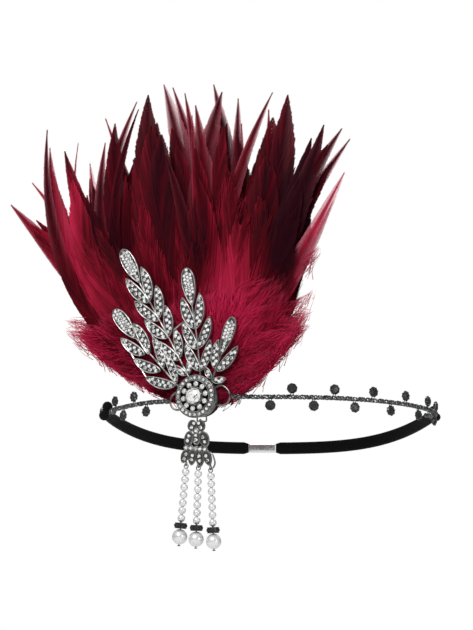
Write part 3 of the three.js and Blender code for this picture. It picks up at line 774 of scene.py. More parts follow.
def lay_uv(obj: bpy.types.Object, u: Array, v: Array) -> None:
    """Give a mesh a UV map from a pair of numbers at each point."""
    layer = obj.data.uv_layers.new(name="weave")
    points = np.empty(len(obj.data.loops), np.int32)
    obj.data.loops.foreach_get("vertex_index", points)
    layer.data.foreach_set("uv", np.stack([u[points], v[points]], axis=1).astype(np.float32).ravel())


# The brooch's own frame: x across, y up and z outward from the back of the medallion

TURN = np.radians(25.0)
ACROSS = np.array([np.cos(TURN), -np.sin(TURN), 0.0])
UP = np.array([0.0, 0.0, 1.0])
OUT = np.array([-np.sin(TURN), -np.cos(TURN), 0.0])
BROOCH_AT = np.array([-38.0, -69.0, -1.0])
BROOCH = frames_of(BROOCH_AT[None], ACROSS, UP, OUT)


def inside(outer: Array, place: Sequence[float], turn: Array | None = None) -> Array:
    """The frame of something placed and turned inside another frame."""
    spin = np.eye(3) if turn is None else turn
    inner = outer[0, :, :3] @ np.column_stack([spin, np.asarray(place, float)])
    inner[:, 3] += outer[0, :, 3]
    return inner[None]


@dataclass
class Leaf:
    """A cast leaf: a pointed plate with a rounded rim, set with stones.

    Its centre line runs from base to tip and bows sideways by bend times 4t(1-t). Its half width is half of
    width times t^a (1-t)^b over that product's greatest value, so it is widest at t = a / (a + b).
    """

    base: tuple[float, float]
    tip: tuple[float, float]
    width: float
    bend: float = 0.0
    full: bool = False
    back: float = 0.9
    bed: float = 1.75
    top: float = 2.5
    rim: float = 0.6
    stations: int = 20

    def half_width(self, t: Array) -> Array:
        """Half the leaf's width at t from 0 to 1."""
        a, b = (0.8, 0.5) if self.full else (0.62, 0.72)
        widest = a / (a + b)
        return self.width / 2 * (t**a * (1 - t) ** b) / (widest**a * (1 - widest) ** b)

    def place(self, t: Array, across: Array, height: Array) -> Array:
        """Points at a share of the length, an offset to the left of the centre line, and a height."""
        base, tip = np.asarray(self.base, float), np.asarray(self.tip, float)
        along = tip - base
        left = np.array([-along[1], along[0]]) / np.linalg.norm(along)
        flat = base + along * t[..., None] + left * (across + self.bend * 4 * t * (1 - t))[..., None]
        return np.concatenate([flat, np.broadcast_to(height, t.shape)[..., None]], axis=-1)

    def plate(self) -> Shape:
        """The leaf's metal, as a section of walls, rims and bed that is carried from base to tip."""
        t = np.linspace(0.006, 0.994, self.stations)
        half = np.maximum(self.half_width(t), 0.22)[:, None]
        inset = self.rim * np.array([0, 0, 0.2, 0.5, 0.8, 1.0, 1.25])
        drop = self.top - np.array([self.back, self.top - 0.4, self.top - 0.08, self.top, self.top - 0.08,
                                    self.top - 0.4, self.bed])
        narrow = np.where(inset > self.rim * 0.5, np.clip((half - 0.3) / 0.6, 0, 1), 1.0)
        across = -np.maximum(half - inset, 0.02)
        height = self.top - drop * narrow
        across = np.concatenate([across, -across[:, ::-1]], axis=1)
        height = np.concatenate([height, height[:, ::-1]], axis=1)
        points = self.place(np.broadcast_to(t[:, None], across.shape), across, height)
        columns = across.shape[1]
        ends = np.arange(columns)
        faces = [grid_faces(self.stations, columns, False, True),
                 np.stack([ends[::-1], ends + (self.stations - 1) * columns])]
        return Shape(points.reshape(-1, 3), faces).outward()

    def bed_sheet(self) -> Shape:
        """The darkened bed, a sheet just over the plate's."""
        t = np.linspace(0.05, 0.95, self.stations)[:, None]
        half = np.maximum(self.half_width(t) - self.rim * 0.95, 0.02)
        across = half * np.linspace(-1, 1, 5)
        points = self.place(np.broadcast_to(t, across.shape), across, np.full(across.shape, self.bed + 0.06))
        return Shape(points.reshape(-1, 3), [grid_faces(self.stations, 5)])

    def stones(self, radius: float, rows: int) -> tuple[Array, Array]:
        """Where the stones sit and how large they are: rows in a honeycomb, or a zigzag that narrows with the
        leaf.

        Args:
            radius: A full stone's radius.
            rows: Three for a broad leaf, and one for a zigzag.

        Returns:
            The places, and each stone's radius.
        """
        length = float(np.hypot(self.tip[0] - self.base[0], self.tip[1] - self.base[1]))
        room = lambda share: self.half_width(share) - self.rim * 0.8
        if rows == 3:
            pitch = 2.06 * radius
            lines = [(0.0, 0.0), (1.86 * radius, 0.5), (-1.86 * radius, 0.5)]
            found = []
            for offset, shift in lines:
                t = (np.arange(2.4 + shift * pitch, length - 1.4, pitch)) / length
                free = room(t) - abs(offset)
                keep = free > radius * 0.72
                found.append((t[keep], np.full(keep.sum(), offset), np.clip(free[keep], 0, radius)))
            t, across, size = (np.concatenate(column) for column in zip(*found))
        else:
            pitch = 1.62 * radius
            t = np.arange(2.6, length - 1.9, pitch) / length
            swing = np.clip(room(t) - radius * 0.92, 0, radius * 0.8)
            across = swing * np.where(np.arange(len(t)) % 2 == 0, 1, -1)
            size = np.clip(room(t) * 0.92, radius * 0.5, radius)
        return self.place(t, across, np.full(t.shape, self.bed + 0.62)), size


@dataclass
class Spray:
    """A stem with a leaf at its end and leaves along both sides; sizes are across and up from the
    medallion."""

    stem: Sequence[tuple[float, float]]
    leaves: Sequence[tuple[float, float, float, float, float]]

    def built(self) -> list[Leaf]:
        """The leaves, of which the first ends the stem, and the others bow away from its end."""
        stem = np.asarray(self.stem, float)
        ahead = unit(stem[-1] - stem[0])
        made = []
        for number, (base_x, base_y, tip_x, tip_y, width) in enumerate(self.leaves):
            along = np.array([tip_x - base_x, tip_y - base_y])
            side = np.sign(ahead[0] * along[1] - ahead[1] * along[0])
            bend = 0.0 if number == 0 else 0.055 * float(np.hypot(*along)) * side
            made.append(Leaf((base_x, base_y), (tip_x, tip_y), width, bend, number == 0))
        return made

    def wire(self) -> Shape:
        """The stem, which thins towards its end and carries the ridge that shows between the leaves."""
        line = curve_through(np.column_stack([self.stem, np.full(len(self.stem), 1.75)]), 10)
        return tube(line, np.linspace(0.72, 0.46, len(line)), 8)


SPRAYS = (
    Spray([(-6, 2), (-12.2, 6.5), (-23.8, 19.1), (-37.6, 33.6)], [
        (-37.6, 33.3, -51, 50.1, 8), (-32, 24.5, -46.8, 34.5, 5.8), (-22.5, 15.2, -38.9, 22.7, 5.8),
        (-13.6, 7, -31.6, 12.3, 5.8), (-29.4, 24.3, -39.1, 42, 5.6), (-20.9, 16.3, -27.4, 33.8, 5.4),
        (-13, 7.6, -20.8, 25, 5)]),
    Spray([(-3, 6), (-6.5, 12), (-20.1, 36.6), (-35.5, 63.5)], [
        (-35.3, 63.4, -46.5, 82.7, 8), (-29.9, 52.4, -43.9, 66.8, 6), (-23.7, 42.4, -38.4, 54, 6),
        (-18.4, 32.6, -32.3, 43.4, 5.8), (-11.4, 20.4, -24.7, 31.5, 5.6), (-7, 12, -14.2, 17.9, 3.8),
        (-29.2, 53, -34.7, 72.4, 5.8), (-23.8, 43.4, -25.6, 61.7, 5.8), (-17.9, 33.2, -20.3, 50.6, 5.8),
        (-11.3, 21.2, -14.6, 37.7, 5.4), (-6.2, 12.2, -6.2, 20.3, 3.4)]),
    Spray([(0.6, 6), (0.7, 12.2), (-1.4, 32.5), (-4.2, 49)], [
        (-4, 48.9, -7.8, 69.8, 8), (-2.4, 36.5, -10, 54, 6), (-0.6, 25.4, -9.5, 40.9, 5.8),
        (0.7, 13.6, -7.8, 29.4, 5.6), (-1.6, 36.4, 0.3, 55.7, 5.8), (-0.4, 25.9, 6.3, 42.8, 5.8),
        (0.8, 13.6, 6.6, 30.3, 5.4)]),
    Spray([(3, 3), (7.4, 8.6), (10, 15.1), (13, 21.9)], [
        (13.1, 21.7, 20.1, 41.6, 7), (9.4, 14.3, 11.4, 30.1, 5.2), (7.4, 9.4, 4, 15.9, 3.6),
        (10.4, 13, 22.5, 25.9, 5.6), (7.6, 8.4, 15.8, 9.1, 4)]),
)
BRIDGES = (
    ((-20.4, 25.2), (-24.9, 31.4)), ((-27.4, 33.6), (-32.2, 43.2)), ((-14.4, 37.4), (-9.4, 40.8)),
    ((-38.7, 22.6), (-46.2, 34.2)), ((-31.4, 12.3), (-38.2, 22.4)),
)
D_RINGS = (
    ((8.6, 4.4), (11.5, 5.6), (14, 5.2), (16.6, 3), (17.7, -0.4), (16.4, -3.4), (13.6, -4.9), (9, -4.2)),
    ((-8.6, 3), (-11.6, 3.9), (-14, 3.2), (-16.3, 1.3), (-17.2, -1.3), (-16.2, -4.4), (-13.4, -6),
     (-8.4, -5.6)),
)


@dataclass
class Medallion:
    """The stepped round medallion with its three orders of stones."""

    rim_stones: int = 24
    rim_circle: float = 9.75
    rim_stone: float = 0.96
    ring_stones: int = 10
    ring_circle: float = 6.5
    ring_stone: float = 1.4
    ring_start: float = np.radians(10.0)
    centre_stone: float = 4.3
    centre_girdle: float = 8.8
    claws: int = 8

    def wall(self) -> Shape:
        """The drum behind the face, with a groove round it."""
        return turned([(0.5, 0), (9.6, 0), (10.2, 0.15), (10.6, 0.7), (10.6, 2.2), (10.4, 2.5), (10.1, 2.75),
                       (10.1, 3.75), (10.4, 4.0), (10.6, 4.25), (10.6, 5.3), (9.9, 5.5), (0.5, 5.5)], 72)

    def face(self) -> Shape:
        """The face: a rounded flange, the channel for the rim stones, a bezel, the dish and the centre's
        seat."""
        return turned([(0.5, 5.3), (10.3, 5.3), (11.0, 5.45), (11.35, 5.8), (11.4, 6.3), (11.35, 6.8),
                       (11.2, 7.05),
                       (11.0, 7.12), (10.85, 7.02), (10.78, 6.7), (8.72, 6.7), (8.66, 7.45), (8.55, 7.65),
                       (8.38, 7.72), (8.2, 7.65), (8.1, 7.45), (8.1, 6.35), (5.15, 6.35), (5.12, 8.2),
                       (5.04, 8.42),
                       (4.9, 8.5), (4.76, 8.42), (4.7, 8.2), (4.7, 7.3), (0.5, 7.3)], 72)

    def dish(self) -> Shape:
        """The black floor between the ring stones."""
        return turned([(5.14, 6.2), (8.1, 6.2), (8.1, 6.44), (5.14, 6.44)], 48, ring=True)

    def circle_of(self, count: int, radius: float, height: float, start: float = 0.0) -> Array:
        """Places round a circle at a height."""
        return np.column_stack([circle(count, radius, start), np.full(count, height)])

    def rim_gems(self) -> Shape:
        """The outer stones."""
        places = self.circle_of(self.rim_stones, self.rim_circle, 7.12)
        return small_stone().at(upright(places, self.rim_stone, np.arange(self.rim_stones) * 0.7, 1.1))

    def rim_grains(self) -> Shape:
        """Grains of metal between the outer stones, inside and outside of their circle."""
        half = np.pi / self.rim_stones
        places = np.concatenate([self.circle_of(self.rim_stones, self.rim_circle + off, 7.18, half)
                                 for off in (-0.72, 0.72)])
        return ball(0.3, 8, 6).at(upright(places))

    def ring_gems(self) -> Shape:
        """The ring of stones in the dish."""
        places = self.circle_of(self.ring_stones, self.ring_circle, 7.5, self.ring_start)
        return large_stone().at(upright(places, self.ring_stone, np.arange(self.ring_stones) * 0.9, 1.5))

    def ring_cups(self) -> Shape:
        """A cup under each ring stone."""
        cup = turned([(0.3, -1.05), (0.95, -1.05), (1.36, -0.12), (1.42, 0.05), (1.3, 0.06), (0.3, -0.7)], 16)
        places = self.circle_of(self.ring_stones, self.ring_circle, 7.5, self.ring_start)
        return cup.at(upright(places))

    def centre_gem(self) -> Shape:
        """The centre stone."""
        places = np.array([[0.0, 0.0, self.centre_girdle]])
        return large_stone(6).at(upright(places, self.centre_stone, 0.2, 1.0))

    def centre_claws(self) -> Shape:
        """Claws that rise from the seat and bend over the centre stone."""
        bent = tube([(4.85, 0, 7.4), (4.86, 0, 8.4), (4.7, 0, 9.0), (4.2, 0, 9.3), (3.9, 0, 9.42)],
                    np.array([0.36, 0.36, 0.36, 0.3, 0.16]), 8, hint=(0, 1, 0))
        turns = np.arange(self.claws) * 2 * np.pi / self.claws + 0.2
        return bent.at(upright(np.zeros((self.claws, 3)), 1.0, turns))


@dataclass
class Brooch(Maker):
    """The cast brooch: medallion, leaf sprays, side rings, and the staple that the pendant hangs on."""

    medallion: Medallion = field(default_factory=Medallion)
    bail_left: float = -0.4
    bail_right: float = 5.0
    bail_bar: float = -13.1
    bail_height: float = 3.0
    bail_wire: float = 0.4
    full_stone: float = 0.94
    side_stone: float = 1.02

    def build(self) -> None:
        """Make and dress every piece of the brooch."""
        leaves = [leaf for spray in SPRAYS for leaf in spray.built()]
        self._sprays(leaves)
        self._leaf_stones(leaves)
        self._medallion()
        self._wires()

    def _sprays(self, leaves: list[Leaf]) -> None:
        """Leaves, stems and the solder bridges between leaves."""
        bridges = [tube([(*start, 1.5), (*end, 1.5)], 0.42, 8) for start, end in BRIDGES]
        metal = together([*(leaf.plate() for leaf in leaves), *bridges])
        self.piece("leaf_sprays", metal.at(BROOCH), Finishes.ANTIQUE, ["brooch"], "antique_silver")
        stems = together(spray.wire() for spray in SPRAYS)
        stems.marks = {}
        self.piece("stems", stems.at(BROOCH), Finishes.WORN, slot="antique_silver")
        beds = together(leaf.bed_sheet() for leaf in leaves)
        self.piece("leaf_beds", beds.at(BROOCH), Finishes.BED, slot="antique_silver")

    def _leaf_stones(self, leaves: list[Leaf]) -> None:
        """The pavé: a honeycomb on the end leaves, a zigzag on the others, with grains between."""
        found = [leaf.stones(self.full_stone, 3) if leaf.full else leaf.stones(self.side_stone,
                                                                               1) for leaf in leaves]
        places = np.concatenate([place for place, _ in found])
        sizes = np.concatenate([size for _, size in found])
        turns = np.random.default_rng(5).random(len(sizes)) * np.pi
        gems = small_stone().at(upright(places, sizes, turns, 1.15))
        self.piece("leaf_stones", gems.at(BROOCH), Finishes.CRYSTAL, slot="crystal", smooth=False, painted_glint_seed=11)
        angles = turns + np.pi / 8
        ring = np.concatenate([places + np.column_stack([np.cos(angles + step) * sizes * 1.02,
                                                         np.sin(angles + step) * sizes * 1.02,
                                                         np.zeros(len(sizes)) - 0.02])
                               for step in (0.0, 2.1, 4.2)])
        grains = ball(0.24, 6, 5).at(upright(ring, np.tile(np.clip(sizes, 0.7, 1), 3)))
        self.piece("leaf_grains", grains.at(BROOCH), Finishes.ANTIQUE, slot="antique_silver")

    def _medallion(self) -> None:
        """The medallion's metal and stones."""
        part = self.medallion
        self.piece("medallion_wall", part.wall().at(BROOCH), Finishes.WORN, slot="antique_silver")
        self.piece("medallion_face", part.face().at(BROOCH), Finishes.WORN, slot="antique_silver")
        self.piece("dish_floor", part.dish().at(BROOCH), Finishes.JET, slot="antique_silver")
        self.piece("rim_stones", part.rim_gems().at(BROOCH), Finishes.CRYSTAL, slot="crystal", smooth=False,
                   painted_glint_seed=12)
        self.piece("rim_grains", part.rim_grains().at(BROOCH), Finishes.ANTIQUE, slot="antique_silver")
        rings = [f"ring_stone_{number:02d}" for number in range(1, part.ring_stones + 1)]
        self.piece("ring_stones", part.ring_gems().at(BROOCH), Finishes.CRYSTAL, rings, "crystal", False,
                   painted_glint_seed=13)
        self.piece("ring_cups", part.ring_cups().at(BROOCH), Finishes.ANTIQUE, slot="antique_silver")
        self.piece("centre_brilliant", part.centre_gem().at(BROOCH), Finishes.CRYSTAL, ["centre_stone"],
                   "crystal",
                   False, painted_glint_seed=14)
        self.piece("centre_claws", part.centre_claws().at(BROOCH), Finishes.ANTIQUE, slot="antique_silver")

    def _wires(self) -> None:
        """The side rings and the staple."""
        rings = [tube([(x, y, 1.2) for x, y in points], 0.55, 10, smooth=6) for points in D_RINGS]
        left, right, bar, height = self.bail_left, self.bail_right, self.bail_bar, self.bail_height
        bail = tube([(left, -9, height), (left, bar + 0.5, height), (left + 0.12, bar + 0.12, height),
                     (left + 0.5, bar, height), (right - 0.5, bar, height),
                     (right - 0.12, bar + 0.12, height),
                     (right, bar + 0.5, height), (right, -9, height)], self.bail_wire, 10)
        wires = together([*rings, bail])
        wires.marks = {}
        self.piece("side_rings_and_staple", wires.at(BROOCH), Finishes.WORN, slot="antique_silver")


@dataclass
class Lobe:
    """An oval dish of the pendant's plate: half width, half height, and lean in degrees."""

    x: float
    y: float
    wide: float
    high: float
    lean: float

    def dish(self, back: float = 0.7, bed: float = 1.45, top: float = 1.85) -> Shape:
        """The dish, with a rounded rim."""
        rim = 0.5 / self.wide
        return self._oval([(0.03, back), (0.96, back), (1, back + 0.1), (1, top - 0.2),
                           (1 - rim * 0.3, top - 0.03),
                           (1 - rim * 0.5, top), (1 - rim * 0.75, top - 0.05), (1 - rim, top - 0.25),
                           (1 - rim * 1.1, bed), (0.03, bed)])

    def ground(self, bed: float = 1.45) -> Shape:
        """The dish's darkened floor, a thin sheet just over its bed."""
        reach = 1 - 0.5 / self.wide
        return self._oval([(0.03, bed), (reach, bed), (reach, bed + 0.06), (0.03, bed + 0.06)])

    def _oval(self, profile: Sequence[tuple[float, float]]) -> Shape:
        """A round of radius 1 turned from a profile, stretched to the oval and put in its place."""
        made = turned(profile, 28)
        made.points = made.points * (self.wide, self.high, 1) @ turn_about_z(np.radians(self.lean)).T
        made.points = made.points + (self.x, self.y, 0)
        return made


LOBES = (
    Lobe(-2.7, -2, 2.6, 3.1, -6), Lobe(2.2, -2.3, 2.6, 3.1, 6), Lobe(-0.4, -5, 1.8, 1.8, 0),
    Lobe(-4.9, -8.8, 2.5, 4.1, -12), Lobe(-0.4, -8.6, 2.1, 3.7, 0), Lobe(4.2, -9.3, 2.8, 4.3, 14),
)
PETALS = (
    ((-5.6, -14.2), (-8.7, -21.4), 4.6), ((-2.3, -14.4), (-3.6, -22.9), 4.6),
    ((1, -14.8), (1.9, -23.8), 4.8), ((4.4, -14.8), (7.2, -23.5), 4.8),
)
PLATE_STONES = (
    (-1.5, -0.9), (-2.9, -3), (1.2, -0.9), (2.4, -3.3), (-0.4, -5),
    (-4.5, -7.3), (-5.4, -9.8), (3.7, -8.4), (4.7, -10.9), (-0.4, -7.2), (-0.4, -9.6),
    (-6.3, -13.5), (-3.5, -13.9), (-0.7, -14.3), (1.9, -14.5), (4.6, -14.8),
    (-6.3, -16.9), (-7.3, -19.2), (-2.6, -17.7), (-3, -19.9), (1.3, -18.2), (1.6, -20.7), (5.3, -18.3),
    (6.2, -20.7),
)
ROW = slice(11, 16)


@dataclass(frozen=True)
class PearlString:
    """Where a string hangs on the plate, how far its foot drifts sideways, and the height of its first
    pearl."""

    x: float
    drift: float
    first: float
    small: float = 2.0
    count: int = 7
    pitch: float = 4.05
    spacer: float = 1.55
    large: float = 4.0
    jump: float = 1.15
    foot: float = 0.9

    def jump_height(self) -> float:
        """The height of the jump ring's centre."""
        return self.first + self.small + self.jump - 0.15

    def lug_height(self) -> float:
        """The height of the lug ring's centre."""
        return self.jump_height() + self.jump + 0.15

    def last(self) -> float:
        """The height of the lowest small pearl's foot."""
        return self.first - (self.count - 1) * self.pitch - self.small

    def spacer_height(self) -> float:
        """The height of the spacer's centre."""
        return self.last() - GAP - self.spacer

    def large_height(self) -> float:
        """The height of the large pearl's centre."""
        return self.spacer_height() - self.spacer - GAP - self.large

    def end(self) -> float:
        """The height of the head pin's foot."""
        return self.large_height() - self.large - self.foot


STRINGS = (PearlString(-6.6, -4.4, -26.1), PearlString(0.5, -1.9, -27.4), PearlString(7.6, 1.2, -28.8))


@dataclass
class Pendant(Maker):
    """The hanging pendant: a palmette plate set with stones, and three pearl strings."""

    lean: float = np.radians(1.9)
    stone: float = 0.94
    lug_depth: float = 1.1
    lug: float = 1.05
    wire: float = 0.3
    facets: int = 12

    def frame(self) -> Array:
        """The pendant's frame, on the bar of the staple."""
        return inside(BROOCH, (0, -13.1, 3), turn_about_x(self.lean))

    def string_frame(self, string: PearlString) -> Array:
        """A string's frame, turned about its jump ring so that its foot drifts."""
        hook = inside(self.frame(), (string.x, string.jump_height(), self.lug_depth))
        return inside(hook, (0, 0, 0), turn_about_z(np.arctan2(string.drift, 38)) @ TO_HANG)

    def build(self) -> None:
        """Make and dress the plate, then each string."""
        self._plate()
        for number, string in enumerate(STRINGS, 1):
            self._string(number, string)

    def _plate(self) -> None:
        """The plate's metal, its dark ground, its stones, lugs and the open hook."""
        place = self.frame()
        stones = np.array([(x, y, 1.98) for x, y in PLATE_STONES])
        petals = [Leaf(base, tip, width, back=0.7, bed=1.45, top=1.9, rim=0.5, stations=16) for base, tip,
                  width in PETALS]
        cups = [Lobe(x, y, 1.5, 1.6, 0) for x, y, _ in stones[ROW]]
        row = tube([(x, y, 1.15) for x, y, _ in stones[ROW]], 0.9, 8)
        dishes = [*LOBES, *cups]
        metal = together([*(lobe.dish() for lobe in dishes), *(petal.plate() for petal in petals), row])
        metal.marks = {}
        self.piece("plate_metal", metal.at(place), Finishes.WORN, ["pendant_plate"], "antique_silver")
        ground = together([*(petal.bed_sheet() for petal in petals), *(lobe.ground() for lobe in dishes)])
        self.piece("plate_ground", ground.at(place), Finishes.BED, slot="antique_silver")
        gems = small_stone().at(upright(stones, self.stone, np.arange(len(stones)) * 0.8, 1.1))
        self.piece("plate_stones", gems.at(place), Finishes.CRYSTAL, slot="crystal", smooth=False, painted_glint_seed=21)
        turns = np.arange(len(stones)) * 0.8
        spots = np.concatenate([stones + np.column_stack([np.cos(turns + a), np.sin(turns + a),
                                                          np.zeros(len(stones))])
                                for a in (0.4, 2.5, 4.6)])
        self.piece("plate_grains", ball(0.23, 6, 5).at(upright(spots)).at(place), Finishes.ANTIQUE,
                   slot="antique_silver")
        wires = [torus(1.1, 0.35, 20, 8).at(one_frame([[0, 0, 1, 1.5], [0, 1, 0, -0.03], [-1, 0, 0, 0]]))]
        for string in STRINGS:
            wires.append(tube([(string.x, -16, self.lug_depth),
                               (string.x, string.lug_height() + self.lug, self.lug_depth)],
                              0.42, 8, hint=(0, 0, 1)))
            wires.append(torus(self.lug, self.wire, 18, 8).at(one_frame(
                [[0, 0, 1, string.x], [0, 1, 0, string.lug_height()], [-1, 0, 0, self.lug_depth]])))
        wires.append(tube([(7.2, -16.4, 1.0), (8.7, -17.6, 0.9), (9.5, -19.6, 0.9), (10.1, -21.8, 1.0),
                           (9.8, -23.4, 1.1),
                           (8.9, -24.8, 1.2)], 0.46, 8, smooth=5))
        joined = together(Shape(part.points, part.faces) for part in wires)
        self.piece("plate_lugs_and_hook", joined.at(place), Finishes.WORN, slot="antique_silver")

    def _string(self, number: int, string: PearlString) -> None:
        """One string: pearls, spacer, end pearl and head pin."""
        hang = self.string_frame(string)
        down = lambda height: height - string.jump_height()
        heights = down(string.first - np.arange(string.count) * string.pitch)
        places = np.column_stack([np.zeros(string.count), np.zeros(string.count), heights])
        pearls = ball(string.small * 1.01, 22, 14).at(upright(places))
        self.piece(f"pearls_{number}", pearls.at(hang), Finishes.PEARL, [f"pearl_string_{number}"], "pearl",
                   crease=180)
        caps = down(string.first + string.small - np.arange(string.count + 1) * string.pitch)
        caps[-1] = down(string.last())
        rings = torus(0.5, 0.2, 12, 6).at(upright(np.column_stack([np.zeros((len(caps), 2)), caps + 0.02])))
        jump = torus(string.jump, self.wire, 18, 8).at(one_frame([[1, 0, 0, 0], [0, 0, -1, 0], [0, 1, 0, 0]]))
        end = down(string.end())
        pin = turned([(0.05, end), (0.6, end), (0.86, end + 0.14), (0.86, end + 0.36), (0.6, end + 0.5),
                      (0.33, end + 0.5),
                      (0.33, down(string.last())), (0.05, down(string.last()))], 14)
        self.piece(f"string_metal_{number}", together([rings, jump, pin]).at(hang), Finishes.WORN,
                   slot="antique_silver")
        self._spacer(number, hang, down(string.spacer_height()), string)
        centre = np.array([[0, 0, down(string.large_height())]])
        bead = turned(self._bored(string.large), 36)
        self.piece(f"end_pearl_{number}", bead.at(upright(centre)).at(hang), Finishes.PEARL,
                   [f"large_pearl_{number}"],
                   "pearl", crease=180)

    @staticmethod
    def _bored(radius: float) -> list[tuple[float, float]]:
        """A ball's profile between the small mouths of its bore: r = R sin a and z = R cos a."""
        tilt = np.linspace(0.12, np.pi - 0.12, 20)
        return list(zip(radius * np.sin(tilt), radius * np.cos(tilt)))

    def _spacer(self, number: int, hang: Array, height: float, string: PearlString) -> None:
        """The spacer: two scalloped discs with black stones set on edge between them."""
        half = string.spacer
        place = inside(hang, (0, 0, height))
        discs = []
        for low, high in ((-half, -half + 0.45), (half - 0.45, half)):
            disc = turned([(0.7, low), (2.85, low), (3.15, low + 0.15), (3.15, high - 0.1), (0.7, high)], 96)
            flat = disc.points[:, :2]
            disc.points[:, :2] = flat * (1 + 0.035 * np.cos(self.facets * np.arctan2(flat[:, 1],
                                                                                     flat[:, 0])))[:, None]
            discs.append(disc)
        core = turned([(0.7, -half + 0.4), (2.8, -half + 0.4), (2.8, half - 0.4), (0.7, half - 0.4)], 24)
        self.piece(f"spacer_metal_{number}", together([*discs, core]).at(place), Finishes.GUNMETAL,
                   [f"rondelle_{number}"], "gunmetal")
        angles = np.arange(self.facets) * 2 * np.pi / self.facets + np.pi / self.facets
        outward = np.column_stack([np.cos(angles), np.sin(angles), np.zeros(self.facets)])
        sideways = np.column_stack([-np.sin(angles), np.cos(angles), np.zeros(self.facets)])
        frames = frames_of(outward * 2.95, sideways * 0.84, np.array([0, 0, 1.15]), outward * 1.2)
        self.piece(f"spacer_stones_{number}", small_stone().at(frames).at(place), Finishes.JET,
                   slot="black_crystal",
                   smooth=False, painted_glint_seed=30 + number)


# The head loop: an ellipse seen from above, with angles in degrees counted from its front towards +X

HALF_WIDTH = 92.0
HALF_DEPTH = 75.0


def ripple(angle: Array) -> Array:
    """The sine's fourth power, which is 1 at the loop's two sides and 0 at its front and back."""
    return np.sin(np.radians(angle)) ** 4


def chain_height(angle: Array) -> Array:
    """The chain's height round the loop: -1.3 - 1.7 of the ripple."""
    return -1.3 - 1.7 * ripple(angle)


def band_height(angle: Array) -> Array:
    """The elastic's height round the loop: -0.8 at the sides and -13.4 at the back."""
    return -13.4 + 12.6 * ripple(angle)


def loop_point(angle: Array, height: Array, inset: Array | float = 0.0) -> Array:
    """Points of the ellipse, drawn in by an inset."""
    angle = np.asarray(angle, float)
    turn = np.radians(angle)
    x, y = (HALF_WIDTH - inset) * np.sin(turn), -(HALF_DEPTH - inset) * np.cos(turn)
    return np.stack([x, y, np.broadcast_to(height, angle.shape)], axis=-1)


def loop_outward(angle: Array) -> Array:
    """The level direction square to the ellipse, away from the head."""
    turn = np.radians(np.asarray(angle, float))
    return unit(np.stack([np.sin(turn) / HALF_WIDTH, -np.cos(turn) / HALF_DEPTH, np.zeros_like(turn)],
                         axis=-1))


def angle_after(angle: float, lengths: Array) -> Array:
    """The angles that lie given lengths of loop away from an angle, read off the loop's summed arc length."""
    fine = np.arange(angle - 200, angle + 200, 0.05)
    points = loop_point(fine, np.zeros_like(fine))
    arc = np.concatenate([[0], np.cumsum(np.linalg.norm(np.diff(points, axis=0), axis=1))])
    start = np.interp(angle, fine, arc)
    return np.interp(start + np.asarray(lengths, float), arc, fine)


def spaced(path: Array, pitch: float) -> tuple[Array, Array]:
    """A path's points an even pitch apart, and its direction at each."""
    arc = np.concatenate([[0], np.cumsum(np.linalg.norm(np.diff(path, axis=0), axis=1))])
    at = np.linspace(0, arc[-1], max(2, round(arc[-1] / pitch) + 1))
    points = np.column_stack([np.interp(at, arc, path[:, axis]) for axis in range(3)])
    return points, unit(np.gradient(points, axis=0))


@dataclass(frozen=True)
class Half:
    """One side of the loop: where its chain starts and joins the ellipse, its end ring, fold, lobes and
    stones."""

    name: str
    side: int
    start: tuple[float, float]
    origin: float
    joins: float
    ring: float
    fold: float
    lobe: float
    stones: int
    first: float
    pitch: float
    crimp: float
    numbered: int


HALVES = (
    Half("left", -1, (-18.2, -1.3), -35.6, -44, -85.2, -82, 2.85, 4, -17, -9.7, -177.57, 1),
    Half("right", 1, (18.7, -0.4), -13.3, -5, 97.5, 94, 2.3, 12, 20, 11.5, 182.43, 5),
)


